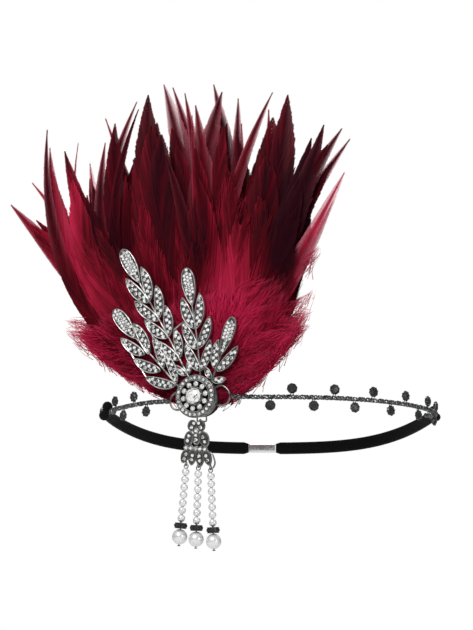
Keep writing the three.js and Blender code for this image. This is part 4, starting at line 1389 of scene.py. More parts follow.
@dataclass
class Chain(Maker):
    """Rope chains of twisted links from the brooch's side rings to the elastic, hung with claw-set black
    stones."""

    tuck: float = 4.7
    tuck_span: float = 12.0
    link_pitch: float = 0.86
    link_radius: float = 0.98
    link_wire: float = 0.4
    stone: float = 2.66
    offset: float = 4.5
    claws: int = 8

    def path_point(self, half: Half, angle: Array) -> Array:
        """The chain's line, which draws in under the fold over the last degrees to meet the end ring."""
        last = half.ring - half.side * 1.2
        tuck = self.tuck * np.clip(1 - np.abs(last - np.asarray(angle, float)) / self.tuck_span, 0, None)
        return loop_point(angle, chain_height(angle) + 0.3 * tuck, tuck)

    def path(self, half: Half) -> Array:
        """The chain's centre line from the side ring to the end ring."""
        last = half.ring - half.side * 1.2
        start = BROOCH[0] @ np.array([*half.start, 1.2, 1.0])
        count = round(abs(last - half.joins) / 8)
        on_loop = self.path_point(half, np.linspace(half.joins, last, count + 1))
        return curve_through(np.vstack([start, on_loop]), 12)

    def links(self, half: Half) -> Shape:
        """Oval links on the line, each turned on from the last about it and leaning against it."""
        points, ahead = spaced(self.path(half), self.link_pitch)
        side = unit(np.cross(UP, ahead))
        lift = np.cross(ahead, side)
        turn = (np.arange(len(points)) * np.radians(78.0))[:, None]
        radial = np.cos(turn) * side + np.sin(turn) * lift
        tangential = np.cross(ahead, radial)
        lean = np.radians(40.0)
        axis = np.cos(lean) * tangential + np.sin(lean) * ahead
        long_way = unit(np.cross(axis, radial))
        return torus(self.link_radius, self.link_wire, 12, 6,
                     1.3).at(frames_of(points, radial, long_way, axis))

    def stone_frames(self, half: Half) -> Array:
        """Each stone's frame: by turns below and above the chain, with z away from the head and y up."""
        index = np.arange(half.stones)
        angle = angle_after(half.origin, half.first + half.pitch * index)
        outward = loop_outward(angle)
        drop = np.where(index % 2 == 0, -self.offset, self.offset)[:, None]
        return frames_of(self.path_point(half, angle) + drop * UP, np.cross(UP, outward), UP, outward)

    def cup(self) -> Shape:
        """A stone's setting: a flared cup, and claws that bend over its lip."""
        cup = turned([(0.4, -1.45), (1.3, -1.4), (2.2, -0.9), (2.68, -0.15), (2.74, 0.1), (2.5, 0.12),
                      (0.4, -0.6)], 20)
        claw = tube([(2.2, 0, -0.9), (2.66, 0, -0.1), (2.6, 0, 0.5), (2.2, 0, 0.78)],
                    np.array([0.28, 0.3, 0.28, 0.2]), 6,
                    hint=(0, 1, 0))
        turns = np.arange(self.claws) * 2 * np.pi / self.claws + 0.2
        claws = claw.at(upright(np.zeros((self.claws, 3)), 1.0, turns))
        return together(Shape(part.points, part.faces) for part in (cup, claws))

    def build(self) -> None:
        """Make both chains, their settings and their stones."""
        for half in HALVES:
            self.piece(f"rope_{half.name}", self.links(half), Finishes.GUNMETAL, [f"chain_{half.name}"],
                       "gunmetal")
            frames = self.stone_frames(half)
            nodes = [f"chain_stone_{half.numbered + index:02d}" for index in range(half.stones)]
            self.piece(f"stone_cups_{half.name}", self.cup().at(frames), Finishes.GUNMETAL, nodes, "gunmetal")
            gems = large_stone().at(upright(np.array([[0, 0, 0.1]]), self.stone, 0.3, 1.25))
            self.piece(f"jet_stones_{half.name}", gems.at(frames), Finishes.JET, slot="black_crystal",
                       smooth=False,
                       painted_glint_seed=40 + half.numbered)
            self._eyes(half, frames)

    def _eyes(self, half: Half, frames: Array) -> None:
        """The little rings between the cups and the chain."""
        towards = np.where(np.arange(half.stones) % 2 == 0, 1.0, -1.0)
        eye = torus(0.75, 0.24, 14, 6)
        local = frames_of(np.column_stack([np.zeros(half.stones), towards * 3.0, np.full(half.stones, -0.5)]),
                          np.array([1.0, 0, 0]), np.array([0, 1.0, 0]), np.array([0, 0, 1.0]))
        turned_frames = np.concatenate([
            np.einsum("kij,kjl->kil", frames[:, :, :3], local[:, :, :3]),
            np.einsum("kij,kj->ki", frames[:, :, :3], local[:, :, 3])[:, :, None] + frames[:, :, 3:]], axis=2)
        self.piece(f"stone_eyes_{half.name}", eye.at(turned_frames), Finishes.GUNMETAL, slot="gunmetal")


@dataclass
class Elastic(Maker):
    """The knitted elastic in two halves, each folded over its end ring into two lobes, and the crimp that
    joins them."""

    width: float = 7.0
    thickness: float = 3.0
    around: int = 28
    ring_radius: float = 2.6
    ring_wire: float = 0.48
    crimp_length: float = 15.4
    crimp_barrel: float = 1.4
    crimp_spread: float = 1.2

    def band(self, half: Half) -> tuple[Shape, Array, Array]:
        """One half of the band: a rounded flat section along the loop, narrowed at the crimp and at the fold.

        Args:
            half: The side of the loop.

        Returns:
            The band, and its points' places round and along it for the knit.
        """
        start = float(angle_after(half.crimp, -half.side * (self.crimp_length / 2 + GAP)))
        angle = np.linspace(start, half.fold, 150)
        path = loop_point(angle, band_height(angle))
        arc = np.concatenate([[0], np.cumsum(np.linalg.norm(np.diff(path, axis=0), axis=1))])
        left = arc[-1] - arc
        shoulder = np.clip(0.74 + arc / 10, 0, 1)
        pinch = np.clip(0.46 + np.clip(left - 6, 0, None) / 8, 0, 1)
        narrow = np.minimum(shoulder, pinch)
        turn = np.arange(self.around) * 2 * np.pi / self.around
        soft = lambda value: np.sign(value) * np.abs(value) ** 0.62
        outward = loop_outward(angle)
        across = soft(np.cos(turn)) * self.width / 2
        through = soft(np.sin(turn)) * self.thickness / 2
        points = (path[:, None] + narrow[:, None, None] * across[None, :, None] * UP
                  + through[None, :, None] * outward[:, None])
        ends = np.arange(self.around)
        faces = [grid_faces(len(angle), self.around, False, True),
                 np.stack([ends[::-1], ends + (len(angle) - 1) * self.around])]
        u = np.tile(np.abs(np.linspace(-1, 1, self.around)), len(angle))
        return Shape(points.reshape(-1, 3), faces).outward(), u, np.repeat(arc, self.around)

    def lobes(self, half: Half) -> tuple[Shape, Array, Array]:
        """The two round lobes of the fold, above and below the band, set against it."""
        middle = loop_point(half.fold, band_height(half.fold))
        outward = loop_outward(half.fold)
        balls, u, v = [], [], []
        for up in (-1, 1):
            made = ball(half.lobe, 32, 20)
            tilt = np.arctan2(made.points[:, 1], made.points[:, 0])
            u.append(np.abs(tilt) / np.pi)
            v.append(made.points[:, 2] * 1.0)
            centre = middle - up * 0.9 * outward + up * half.lobe * 0.86 * UP
            along = np.cross(UP, outward)
            balls.append(made.at(frames_of(centre[None], outward * 1.0, UP, along)))
        return together(balls), np.concatenate(u), np.concatenate(v)

    def rings(self, half: Half) -> Shape:
        """The end ring round the band's waist, with two turns of chain wire beside it."""
        turns = []
        for shift, radius in ((0.0, self.ring_radius), (0.75 * half.side, 2.35), (-0.7 * half.side, 2.2)):
            angle = half.ring + shift
            along = unit(loop_point(angle + 1, 0.0) - loop_point(angle - 1, 0.0))
            centre = loop_point(angle, band_height(angle))
            ring = torus(radius, self.ring_wire if shift == 0 else 0.4, 28, 8)
            turns.append(ring.at(frames_of(centre[None], loop_outward(angle), UP, along)))
        return together(Shape(part.points, part.faces) for part in turns)

    def crimp(self) -> Shape:
        """The crimp sleeve: a figure of eight of two barrels, a little flared at the mouths."""
        turn = np.arange(48) * 2 * np.pi / 48
        up = np.where(np.sin(turn) >= 0, 1.0, -1.0)
        section = np.stack([np.cos(turn) * self.crimp_barrel,
                            up * self.crimp_spread + np.sin(turn) * self.crimp_barrel], axis=1)
        waist = np.abs(section[:, 1]) < self.crimp_spread
        section[waist, 0] *= 0.55 + 0.45 * (np.abs(section[waist, 1]) / self.crimp_spread) ** 2
        x = np.array([-7.7, -7.5, -7.0, 7.0, 7.5, 7.7])
        path = np.column_stack([x, np.zeros((len(x), 2))])
        made = sweep(path, section, np.array([0, 0, 1.0]), np.array([0.93, 1.0, 0.985, 0.985, 1.0, 0.93]))
        angle = HALVES[1].crimp
        turn_z = np.radians(180 - angle) * -(HALF_DEPTH / HALF_WIDTH)
        place = np.column_stack([turn_about_z(turn_z), loop_point(angle, band_height(angle))])[None]
        return Shape(made.points, made.faces).at(place)

    def build(self) -> None:
        """Make the bands, lobes, rings and crimp."""
        for half in HALVES:
            band, u, v = self.band(half)
            knit = self.piece(f"band_{half.name}", band, Finishes.ELASTIC, [f"elastic_{half.name}"],
                              "elastic")
            lay_uv(knit, u, v)
            lobes, u, v = self.lobes(half)
            lay_uv(self.piece(f"band_lobes_{half.name}", lobes, Finishes.ELASTIC, slot="elastic", crease=180),
                   u, v)
            self.piece(f"end_rings_{half.name}", self.rings(half), Finishes.GUNMETAL,
                       [f"end_ring_{half.name}"],
                       "gunmetal")
        self.piece("crimp", self.crimp(), Finishes.BRIGHT, ["crimp_sleeve"], "bright_silver")


# The plume, in the brooch's frame: across, up, and behind the brooch as a depth


@dataclass(frozen=True)
class Barbs:
    """How the barbs of a kind of feather grow.

    Attributes:
        count: Barbs on each side of the shaft.
        steps: Straight stretches in a barb.
        reach: How far a barb runs up the shaft for each unit that it runs out.
        bare: The share of the shaft below which no barb ends.
        curl: The power by which barbs turn to lie along the shaft.
        base: A barb's width at the shaft.
        end: A barb's width at its end.
        camber: How far the vane bends back, as a share of its half width.
        twist: How far barbs turn about themselves, in radians.
        ragged: How unevenly the barbs end.
    """

    count: int
    steps: int
    reach: float
    bare: float
    curl: float
    base: float
    end: float
    camber: float
    twist: float
    ragged: float


HACKLE = Barbs(170, 4, 5.6, 0.3, 1.25, 0.62, 0.5, 0.25, 0.08, 0.02)
COVERT = Barbs(120, 4, 4.4, 0.22, 1.35, 0.66, 0.26, 0.3, 0.16, 0.12)


@dataclass(frozen=True)
class Patch:
    """A soft patch of the fan where the dye took more or less: its place, its size, and what it adds to the
    shade."""

    across: float
    up: float
    wide: float
    high: float
    gain: float


# The crimson heart and hem of the fan, and the dark feathers among it
PATCHES = (
    Patch(18, 50, 20, 30, 0.42), Patch(-6, 40, 60, 30, 0.16), Patch(-84, 110, 9, 30, 0.4),
    Patch(-66, 70, 14, 28, 0.24),
    Patch(-69, 112, 5, 26, -0.3), Patch(-56, 86, 9, 18, -0.24), Patch(-30, 96, 16, 26, 0.06),
    Patch(-2, 84, 7, 22, -0.34),
    Patch(8, 112, 5, 20, 0.14), Patch(14, 72, 10, 14, 0.12), Patch(-22, 132, 9, 26, -0.14),
    Patch(49, 100, 15, 36, -0.34),
    Patch(52, 66, 12, 16, -0.24), Patch(40, 44, 16, 12, 0.12), Patch(-40, 44, 26, 16, 0.08),
)


def dye(across: Array, up: Array) -> Array:
    """The dye over the fan: the sum of the patches, each a bell across and up."""
    total = np.zeros_like(across)
    for patch in PATCHES:
        bell = ((across - patch.across) / patch.wide) ** 2 + ((up - patch.up) / patch.high) ** 2
        total = total + patch.gain * np.exp(-bell)
    return total


@dataclass
class Feathers:
    """A batch of feathers: one row of each array for each feather."""

    root: Array
    tip: Array
    width: Array
    bow: Array
    hook: Array
    roll: Array
    shade: Array
    film: Array
    blunt: Array
    barbs: Barbs
    seed: int

    def shaft(self, t: Array) -> Array:
        """Points of the shafts: from root to tip, sideways by bow 4t(1-t) + hook (t^4 - t), and back as
        t^1.3.

        Args:
            t: Shares of the length, with one row for each feather.

        Returns:
            The points, of t's shape with three coordinates.
        """
        grow = (slice(None),) + (None,) * (t.ndim - 1)
        along = self.tip - self.root
        flat = unit(np.stack([along[:, 1], -along[:, 0], np.zeros(len(along))], axis=1))
        sideways = 4 * t * (1 - t) * self.bow[grow] + (t**4 - t) * self.hook[grow]
        points = self.root[grow] + along[grow] * t[..., None] + flat[grow] * sideways[..., None]
        points[..., 2] = self.root[grow][..., 2] + along[grow][..., 2] * t**1.3
        return points

    def vanes(self) -> Shape:
        """Every barb as a thin ribbon that lies along the shaft.

        A barb ends where the vane is h wide, a share e up the shaft, and starts a length h times reach below
        that. The vane is as wide as sqrt(e) (1 - e^blunt) over that product's greatest value. At a share s of
        its own length a barb is out by h (1 - (1 - s)^curl) and back by camber h s^2.

        Returns:
            The ribbons, with their shade, and with edge from 0 at the shaft to 1 at a thin margin.
        """
        rule, rng = self.barbs, np.random.default_rng(self.seed)
        shape = (len(self.width), 2, rule.count)
        ends = np.linspace(rule.bare, 0.995, rule.count)
        phase = rng.random((shape[0], 2, 1)) * 2 * np.pi
        gather = (np.sin(ends * 31 + phase) + 0.7 * np.sin(ends * 74 + 2.3 * phase)
                  + 0.6 * np.sin(ends * 143 + 4.1 * phase))
        blunt = self.blunt[:, None, None]
        widest = (1 + 2 * blunt) ** (-1 / blunt)
        profile = np.sqrt(ends) * (1 - ends**blunt) / (np.sqrt(widest) * (1 - widest**blunt))
        loose = rule.ragged * (0.5 * gather + rng.normal(size=shape))
        half = np.maximum(self.width[:, None, None] * 0.5 * profile, 0.25)
        length = np.linalg.norm(self.tip - self.root, axis=1)[:, None, None]
        start = np.maximum(ends - half * rule.reach / length, 0.02)
        half = half * (1 + loose)
        s = np.linspace(0, 1, rule.steps + 1)
        t = np.minimum(start[..., None] + ((ends - start) * (1 + loose))[..., None] * s, 1.0)
        line = self.shaft(t)
        ahead = unit(self.shaft(t + 0.004) - line)
        side = unit(np.cross(np.array([0, 0, 1.0]), ahead))
        normal = np.cross(ahead, side)
        roll = self.roll[:, None, None, None, None]
        side, normal = np.cos(roll) * side + np.sin(roll) * normal, np.cos(roll) * normal - np.sin(roll) * side
        hand = np.array([-1.0, 1.0])[None, :, None, None]
        out = half[..., None] * (1 - (1 - s) ** rule.curl)
        back = rule.camber * half[..., None] * s**2 + rule.twist * rng.normal(size=shape)[..., None] * s
        points = line + side * (hand * out)[..., None] - normal * back[..., None]
        run = unit(np.gradient(points, axis=3))
        broad = unit(np.cross(normal, run))
        turn = rule.twist * rng.normal(size=shape)[..., None, None]
        broad = np.cos(turn) * broad + np.sin(turn) * np.cross(run, broad)
        width = (rule.base + (rule.end - rule.base) * s)[:, None]
        ribbons = np.stack([points - broad * width / 2, points + broad * width / 2], axis=4)
        # Random tone for each barb, and lighter where barbs gather into clumps: partly uneven colour, partly a
        # painted sheen.
        tone = self.shade[:, None, None] + 0.06 * rng.normal(size=shape) + 0.05 * gather
        tone = tone[..., None] + 0.2 * s**2 + dye(points[..., 0], points[..., 1])
        film = self.film[:, None, None, None] * s**2 * np.clip((ends - 0.6) * 3, 0, 1)[:, None]
        edge = np.broadcast_to(np.clip(film, 0, 1), points.shape[:-1])
        return ribbon_shape(ribbons, tone, edge)

    def quills(self, thick: float = 0.45) -> Shape:
        """Every shaft as a thin four-sided taper."""
        rows = 18
        t = np.broadcast_to(np.linspace(0, 0.99, rows), (len(self.width), rows))
        line = self.shaft(t)
        ahead = unit(np.gradient(line, axis=1))
        side = unit(np.cross(np.array([0, 0, 1.0]), ahead))
        lift = np.cross(ahead, side)
        radius = (thick * (1 - 0.85 * t))[..., None, None]
        ring = circle(4)
        points = line[:, :, None] + radius * (ring[:, :1] * side[:, :, None] + ring[:, 1:] * lift[:, :, None])
        starts = np.arange(len(line)) * rows * 4
        faces = (grid_faces(rows, 4, False, True)[None] + starts[:, None, None]).reshape(-1, 4)
        tone = self.shade[:, None] + 0.1 + dye(line[..., 0], line[..., 1])
        return Shape(points.reshape(-1, 3), [faces],
                     {"shade": np.repeat(tone.ravel(), 4), "edge": np.zeros(len(line) * rows * 4)})

    def shape(self) -> Shape:
        """Vanes and quills together."""
        return together([self.vanes(), self.quills()])


def ribbon_shape(ribbons: Array, tone: Array, edge: Array) -> Shape:
    """Ribbons as one shape.

    Args:
        ribbons: Points whose last three axes are the steps along a ribbon, its two margins, and x, y and z.
        tone: The shade at each step.
        edge: How thin and pale each step is.

    Returns:
        The shape, with both marks.
    """
    steps = ribbons.shape[-3]
    starts = np.arange(int(np.prod(ribbons.shape[:-3]))) * steps * 2
    faces = (grid_faces(steps, 2)[None] + starts[:, None, None]).reshape(-1, 4)
    return Shape(ribbons.reshape(-1, 3), [faces],
                 {"shade": np.repeat(tone.ravel(), 2), "edge": np.repeat(edge.ravel(), 2)})


# The long feathers: tip across and up, width, depth behind the brooch, bow, hook, share of dye, film, and
# bluntness
LONG = np.array([
    (-124, 117, 12, 10, -2, 0, 0.48, 0.7, 3), (-121, 111, 9, 16, -5, 0, 0.6, 1.4, 3),
    (-114, 130, 7, 16, -2, -4, 0.72, 1.5, 2.6), (-97, 157, 9, 4, -34, 0, 0.08, 0.9, 2.2),
    (-97, 147, 16, 7, -27, 0, 0.48, 0.6, 2.2), (-90, 145, 15, 11, -14, -2, 0.12, 0.2, 2.2),
    (-82, 150, 6, 13, -30, 4, 0.4, 1.8, 2.6), (-76, 138, 11, 15, -16, 0, 0.5, 4, 3),
    (-70, 164, 6, 21, -1, -2, 0.5, 1.8, 2.6), (-65, 148, 12, 13, -26, 0, 0.36, 0.9, 2.4),
    (-57, 157, 23, 9, -20, 0, 0.12, 0.08, 2.8), (-46, 170, 12, 15, -38, 2, 0.32, 1.2, 2.4),
    (-41, 163, 9, 7, -33, 2, 0.08, 0.2, 2.2), (-33, 169, 24, 2, -12, 0, 0.1, 0.08, 2.6),
    (-22, 134, 9, 1, 5, 0, 0.1, 0.2, 2.2), (-29, 177, 19, 12, 6, 0, 0.3, 1.3, 2.8),
    (-26, 176, 10, 17, 11, 0, 0.36, 1.4, 2.4), (-15, 170, 10, 10, 5, 0, 0.36, 1.1, 2.2),
    (-6, 161, 14, 5, 5, 0, 0.3, 0.8, 2.4), (-7, 155, 6, 3, -1, 0, 0.46, 0.8, 2.2),
    (-1, 175, 14, 17, 12, 0, 0.14, 1.1, 2.6), (10, 167, 17, 6, -6, 9, 0.12, 0.7, 2.8),
    (15, 165, 12, 15, 4, 0, 0.16, 1.4, 2.2), (16, 143, 20, 11, 9, 0, 0.12, 0.08, 2.4),
    (15, 152, 6, 19, 7, 0, 0.4, 1.8, 2.4), (41, 163, 9, 4, -10, 4, 0.3, 1.3, 2.8),
    (33, 157, 8, 15, 10, 0, 0.46, 1.5, 2.4), (47, 162, 25, 9, 7, 0, 0.18, 0.08, 2.6),
    (62, 136, 16, 6, 4, 0, 0.02, 0.08, 2.6), (70, 142, 16, 4, 5, 0, 0.02, 0.2, 2.4),
    (79, 140, 13, 8, -4, 3, 0.1, 0.9, 2.4), (82, 135, 9, 12, -4, 2, 0.06, 1.7, 2.4),
    (81, 116, 10, 6, 4, 2, 0.8, 4.5, 2.8), (73, 102, 8, 9, 6, 0, 0.7, 4.5, 2.8),
    (55, 112, 18, 15, 12, 0, 0.06, 0.08, 3.2),
])
# The fan's closed outline below the long feathers' tips
FAN = np.array([
    (-9, 2), (-32, 13), (-57, 27), (-74, 44), (-74, 64), (-64, 84), (-46, 98), (-24, 104), (0, 104), (26, 99),
    (46, 88), (54, 66), (49, 40), (30, 18), (11, 2),
], float)
# How far short feathers and down reach in each direction, counted in degrees from across
SHORT_REACH = ((36, 60), (44, 84), (52, 104), (60, 118), (75, 128), (105, 128), (125, 126), (134, 116),
               (144, 94),
               (152, 80))
DOWN_REACH = ((8, 12), (26, 36), (35, 64), (44, 72), (56, 76), (75, 62), (120, 58), (140, 76), (152, 88),
              (160, 58),
              (168, 20))


def reach_of(table: Sequence[tuple[float, float]], turn: Array) -> Array:
    """A reach read off a table of directions, straight between its rows."""
    rows = np.array(table, float)
    return np.interp(np.degrees(turn), rows[:, 0], rows[:, 1])


@dataclass
class Plume(Maker):
    """The feather fan: long hackles, shorter feathers over both faces, down round the foot, and a felt pad
    behind."""

    root_depth: float = 7.0
    tufts: int = 1100
    strands: int = 13
    strand_length: float = 13.0

    def build(self) -> None:
        """Make every layer, from the core outward."""
        self._core()
        self._long()
        self._short("short_feathers_front", 60, (1.5, 6.0), 4.5, 71)
        self._short("short_feathers_back", 50, (17.0, 22.0), 11.0, 72)
        self._down("down_front", (1.0, 6.0), 81)
        self._down("down_back", (14.0, 19.5), 82)
        self._hem()
        self._wisps()
        self._pad()

    def _batch(self, tips: Array, width: Array, bow: Array, shade: Array, barbs: Barbs, seed: int,
               depth: float, film: Array | float, blunt: Array | float) -> Feathers:
        """Feathers from the root to given tips.

        Args:
            tips: Tips across, up and out.
            width: Each vane's width.
            bow: Each shaft's bow.
            shade: Each feather's share of dye.
            barbs: How the barbs grow.
            seed: Fixes what varies.
            depth: The root's depth behind the brooch.
            film: How thin and pale the vanes' margins are towards their tips.
            blunt: The power by which each vane narrows to its tip.

        Returns:
            The batch.
        """
        rng = np.random.default_rng(seed)
        count = len(tips)
        root = np.column_stack([rng.normal(size=(count, 2)), np.full(count, -depth)])
        hook = 3.0 * rng.normal(size=count)
        roll = 0.2 * rng.normal(size=count)
        film, blunt = np.broadcast_to(film, count), np.broadcast_to(blunt, count)
        return Feathers(root, tips, width, bow, hook, roll, shade, film, blunt, barbs, seed + 500)

    def _long(self) -> None:
        """The hackles that make the fan's outline, and shorter ones beside them."""
        across, up, width, depth, bow, hook, shade, film, blunt = LONG.T
        tips = np.column_stack([across, up, -depth])
        main = self._batch(tips, width, bow, shade, HACKLE, 61, self.root_depth, film, blunt)
        main.hook = hook
        self.piece("long_feathers", main.shape().at(BROOCH), Finishes.HACKLE, ["plume"], "feather",
                   crease=180)
        rng = np.random.default_rng(62)
        near = np.repeat(LONG[LONG[:, 2] >= 12], 3, axis=0)
        count = len(near)
        share = rng.uniform(0.74, 0.93, count)[:, None]
        beside = near[:, :2] * share + rng.normal(size=(count, 2)) * (3, 1.5)
        tips = np.column_stack([beside, -np.clip(near[:, 3] + rng.normal(size=count) * 3, 0.5, 24)])
        more = self._batch(tips, near[:, 2] * rng.uniform(0.8, 1.1, count), near[:, 4] * 0.8,
                           near[:, 6] * 0.5 + 0.11 + 0.05 * rng.normal(size=count), HACKLE, 63,
                           self.root_depth, 0.06, 4.0)
        self.piece("side_feathers", more.shape().at(BROOCH), Finishes.HACKLE, slot="feather", crease=180)

    def _short(self, name: str, count: int, depth: tuple[float, float], root: float, seed: int) -> None:
        """A layer of shorter feathers over one face.

        Args:
            name: The piece's name.
            count: How many feathers.
            depth: The least and greatest depth of their tips.
            root: The depth of their roots.
            seed: Fixes what varies.
        """
        rng = np.random.default_rng(seed)
        turn = np.radians(np.linspace(53, 146, count) + rng.normal(size=count) * 3)
        width = rng.uniform(13, 19, count)
        reach = reach_of(SHORT_REACH, turn) * rng.uniform(0.45, 0.97, count)
        tips = np.column_stack([reach * np.cos(turn), reach * np.sin(turn), -rng.uniform(*depth, count)])
        bow = 0.08 * tips[:, 0] + rng.normal(size=count)
        shade = 0.25 + 0.06 * rng.normal(size=count)
        batch = self._batch(tips, width, bow, shade, COVERT, seed + 100, root, 0.05, 2.6)
        self.piece(name, batch.shape().at(BROOCH), Finishes.HACKLE, slot="feather", crease=180)

    def _tufts(self, turn: Array, reach: Array, depth: Array, length: float, seed: int, lean: float = 0.14,
               shade: float = 0.5) -> Shape:
        """Tufts of down: strands that start apart and end together, leaning away from the fan's middle.

        Args:
            turn: The direction in which each tuft ends.
            reach: How far out each tuft ends.
            depth: How deep each tuft ends.
            length: A strand's length.
            seed: Fixes what varies.
            lean: How far tufts lean sideways for each radian from upright.
            shade: The tufts' share of dye.

        Returns:
            The strands as ribbons.
        """
        rng = np.random.default_rng(seed)
        count, strands = len(turn), self.strands
        end = np.stack([reach * np.cos(turn), reach * np.sin(turn), -depth], axis=1)[:, None]
        angle = turn + lean * (turn - np.pi / 2) + 0.22 * rng.normal(size=count)
        aim = np.stack([np.cos(angle), np.sin(angle), 0.12 * rng.normal(size=count)], axis=1)[:, None]
        across = np.cross(aim, np.array([0, 0, 1.0]))
        own = np.minimum(length * rng.uniform(0.6, 1.15, (count, strands, 1)), 0.7 * reach[:, None, None])
        spread = rng.normal(size=(count, strands, 3)) * (1.0, 1.0, 0.5)
        start = end - aim * own + spread * 2.2
        finish = end + spread * 0.6 + aim * rng.normal(size=(count, strands, 1)) * 0.9
        s = np.linspace(0, 1, 5)[:, None]
        bend = 0.9 * rng.normal(size=(count, strands, 1, 1))
        wave = 0.2 * rng.normal(size=(count, strands, 1, 1))
        sideways = bend * np.sin(np.pi * s) + wave * np.sin(2 * np.pi * s)
        points = start[:, :, None] + (finish - start)[:, :, None] * s + across[:, :, None] * sideways
        points[..., 2] = np.minimum(points[..., 2], -0.4 - 0.5 * rng.random((count, strands, 1)))
        run = unit(np.gradient(points, axis=2))
        tilt = 0.5 * rng.normal(size=(count, strands, 1, 1))
        face = np.array([0, 0, 1.0]) * np.cos(tilt) + across[:, :, None] * np.sin(tilt)
        broad = unit(np.cross(face, run))
        width = 0.42 - 0.32 * s
        ribbons = np.stack([points - broad * width / 2, points + broad * width / 2], axis=3)
        tone = shade + 0.09 * rng.normal(size=(count, 1, 1)) + 0.06 * rng.normal(size=(count, strands, 1))
        # Darker towards each strand's root, deep in the down, and lighter at its end: painted shade for depth;
        # dye adds the fan's own colour.
        tone = tone + 0.24 * (s[:, 0] - 0.6) + dye(points[..., 0], points[..., 1])
        edge = np.broadcast_to(s[:, 0] ** 2 * 0.5, tone.shape)
        return ribbon_shape(ribbons, tone, edge)

    def _down(self, name: str, depth: tuple[float, float], seed: int) -> None:
        """A layer of down over the fan's foot, denser and shallower towards its rim.

        Args:
            name: The piece's name.
            depth: The least and greatest depth of the tufts' ends.
            seed: Fixes what varies.
        """
        rng = np.random.default_rng(seed)
        turn = np.radians(rng.uniform(10, 166, self.tufts))
        share = rng.uniform(0.12, 1.0, self.tufts) ** 0.6
        reach = reach_of(DOWN_REACH, turn) * share
        made = self._tufts(turn, reach, rng.uniform(*depth, self.tufts), self.strand_length, seed + 10)
        self.piece(name, made.at(BROOCH), Finishes.DOWN, slot="feather", crease=180)

    def _hem(self) -> None:
        """Down all through the thickness of the fan's two lower edges."""
        rng = np.random.default_rng(83)
        count = 420
        share = rng.uniform(0.1, 1.0, count)
        left = rng.random(count) < 0.58
        turn = np.radians(np.where(left, 165 - 12.5 * share**1.4, 13 + 22 * share**0.8))
        reach = reach_of(DOWN_REACH, turn) * rng.uniform(0.97, 1.03, count)
        made = self._tufts(turn, reach, rng.uniform(2.0, 18.0, count), 10.0, 84, 0.2, 0.85)
        self.piece("down_hem", made.at(BROOCH), Finishes.DOWN, slot="feather", crease=180)

    def _wisps(self) -> None:
        """Pale loose strands at the two ends of the down and beside the fan's right edge."""
        rng = np.random.default_rng(85)
        count = 34
        places = np.array([(153, 91), (150, 93), (146, 94), (35, 67), (38, 71), (44, 78), (49, 98)], float)
        row = places[rng.integers(0, len(places), count)]
        turn = np.radians(row[:, 0] + rng.normal(size=count) * 1.6)
        made = self._tufts(turn, row[:, 1] * rng.uniform(0.97, 1.03, count), rng.uniform(3, 16, count), 11.0,
                           86,
                           0.15, 0.8)
        made.marks["edge"] = np.clip(made.marks["edge"] * 1.5 + 0.25, 0, 1)
        self.piece("down_wisps", made.at(BROOCH), Finishes.DOWN, slot="feather", crease=180)

    def _core(self) -> None:
        """The dense middle of the fan: a lens whose half thickness is 5.2 sqrt(1 - r^4) inside the fan's
        outline."""
        outline = curve_through(np.vstack([FAN, FAN[:1]]), 5)[:-1]
        centre = np.array([-12.0, 46.0])
        r = np.linspace(0, 1, 14)[:, None, None]
        flat = centre + (outline - centre)[None] * r * 0.9
        thick = 5.2 * np.sqrt(1 - r[..., 0] ** 4)
        rng = np.random.default_rng(51)
        halves = []
        for sign in (1.0, -1.0):
            height = -11.0 + sign * thick + rng.normal(size=flat.shape[:2]) * 0.3
            points = np.concatenate([flat, height[..., None]], axis=2).reshape(-1, 3)
            faces = grid_faces(len(r), len(outline), False, True)
            halves.append(Shape(points, [faces if sign > 0 else faces[:, ::-1]]))
        core = together(halves)
        core.marks = {"shade": 0.2 + dye(core.points[:, 0], core.points[:, 1]),
                      "edge": np.zeros(len(core.points))}
        self.piece("fan_core", core.at(BROOCH), Finishes.DOWN, slot="feather", crease=180)

    def _pad(self) -> None:
        """The felt pad between the medallion and the quills, and the boss of glued quills behind it."""
        pad = turned([(0.4, -13), (5.7, -13), (6.2, -12.6), (9.8, -4.4), (10, -3.8), (10, -0.9), (9.7, -0.45),
                      (0.4, -0.4)], 40)
        self.piece("felt_pad", pad.at(BROOCH), Finishes.FELT, slot="feather")


# Studio


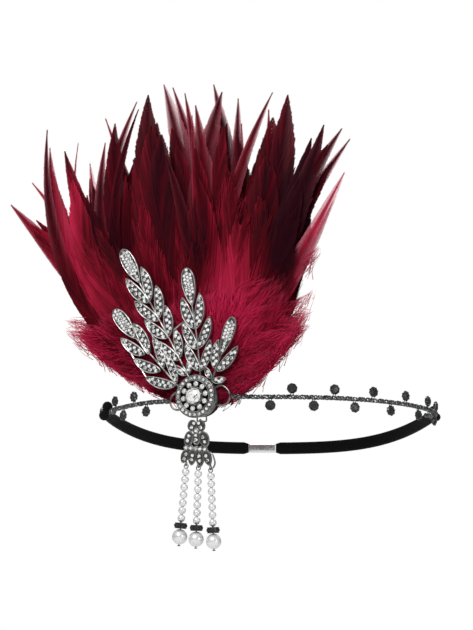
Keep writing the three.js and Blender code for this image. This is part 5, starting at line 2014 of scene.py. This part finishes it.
@dataclass
class Studio:
    """The camera at the photograph's angle, soft light, a bright white surround and a plain pale floor."""

    elevation: float = -9.0
    distance: float = 1300.0
    scale: float = 0.56
    target: tuple[float, float, float] = (-19.0, 0.0, 54.0)
    floor: float = -262.0
    photo_height: int = 630

    def camera(self) -> None:
        """A camera that looks along +Y and slightly up, so that a pixel is one scale's length at the
        target."""
        data = bpy.data.cameras.new("camera")
        data.sensor_width = 36.0
        data.lens = 36.0 * self.distance / (self.photo_height * self.scale)
        data.clip_start, data.clip_end = 0.05, 50.0
        camera = bpy.data.objects.new("camera", data)
        lift = np.radians(self.elevation)
        back = np.array([0.0, -np.cos(lift), np.sin(lift)])
        camera.location = Vector((np.array(self.target) + back * self.distance) * MM)
        camera.rotation_mode = "QUATERNION"
        camera.rotation_quaternion = Vector(-back).to_track_quat("-Z", "Y")
        bpy.context.scene.collection.objects.link(camera)
        bpy.context.scene.camera = camera

    def lights(self) -> None:
        """A broad key from the upper left, a fill from the right, and a back light through the feathers."""
        for name, place, aim, size, power, tone in (
                ("key", (-420, -900, 620), (-20, 0, 40), 420, 7.5, (1.0, 0.99, 0.97)),
                ("fill", (700, -760, 60), (-10, 0, 20), 380, 1.6, (0.97, 0.98, 1.0)),
                ("back", (80, 700, 620), (-20, 0, 80), 500, 4.0, (1.0, 1.0, 1.0))):
            data = bpy.data.lights.new(name, "AREA")
            data.shape, data.size, data.energy, data.color = "DISK", size * MM, power, tone
            lamp = bpy.data.objects.new(name, data)
            lamp.location = Vector(place) * MM
            lamp.rotation_euler = (Vector(aim) - Vector(place)).to_track_quat("-Z", "Y").to_euler()
            bpy.context.scene.collection.objects.link(lamp)

    def surround(self) -> None:
        """The world: white to look at, and to reflect a bright sky over a greyer horizon."""
        world = bpy.data.worlds.new("surround")
        world.use_nodes = True
        graph = Graph(world.node_tree)
        height = graph.node("SeparateXYZ", inputs={0: graph.node("TexCoord").out("Generated")}).out("Z")
        sky = graph.ramp(height * 0.5 + 0.5, [
            (0.0, (0.1, 0.1, 0.1)), (0.42, (0.08, 0.08, 0.08)), (0.55, (0.16, 0.16, 0.165)),
            (0.8, (0.45, 0.45, 0.45))])
        seen = graph.node("LightPath").out("Is Camera Ray")
        colour = graph.blend(seen, sky, (1.0, 1.0, 1.0, 1.0))
        shader = graph.node("Background", inputs={"Color": colour, "Strength": 1.0})
        output = world.node_tree.nodes.new("ShaderNodeOutputWorld")
        world.node_tree.links.new(shader.node.outputs[0], output.inputs["Surface"])
        bpy.context.scene.world = world
        bpy.context.scene.view_settings.view_transform = "Standard"

    def ground(self) -> None:
        """A broad round floor, well below what hangs over it."""
        disc = bpy.data.meshes.new("floor")
        rim = np.column_stack([circle(64, 6000.0), np.full(64, self.floor)]) * MM
        disc.from_pydata(rim.tolist(), [], [list(range(64))])
        disc.materials.append(Finishes.FLOOR.value.material())
        floor = bpy.data.objects.new("floor", disc)
        bpy.context.scene.collection.objects.link(floor)

    def build(self) -> None:
        """Set the studio up, the camera first."""
        self.camera()
        self.lights()
        self.surround()
        self.ground()


def write_size() -> None:
    """Bring the scene's transforms up to date."""
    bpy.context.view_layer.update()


def main() -> None:
    """Build the studio and every sub-assembly in order."""
    logging.basicConfig(level=logging.INFO, format="%(name)s: %(message)s")
    Studio().build()
    for part in (Brooch(Body.HEADBAND), Pendant(Body.PENDANT), Chain(Body.HEADBAND), Elastic(Body.HEADBAND),
                 Plume(Body.HEADBAND)):
        part.build()
        LOG.info("%s: %d pieces", type(part).__name__.lower(), len(part.made))
    write_size()


if __name__ == "__main__":
    main()
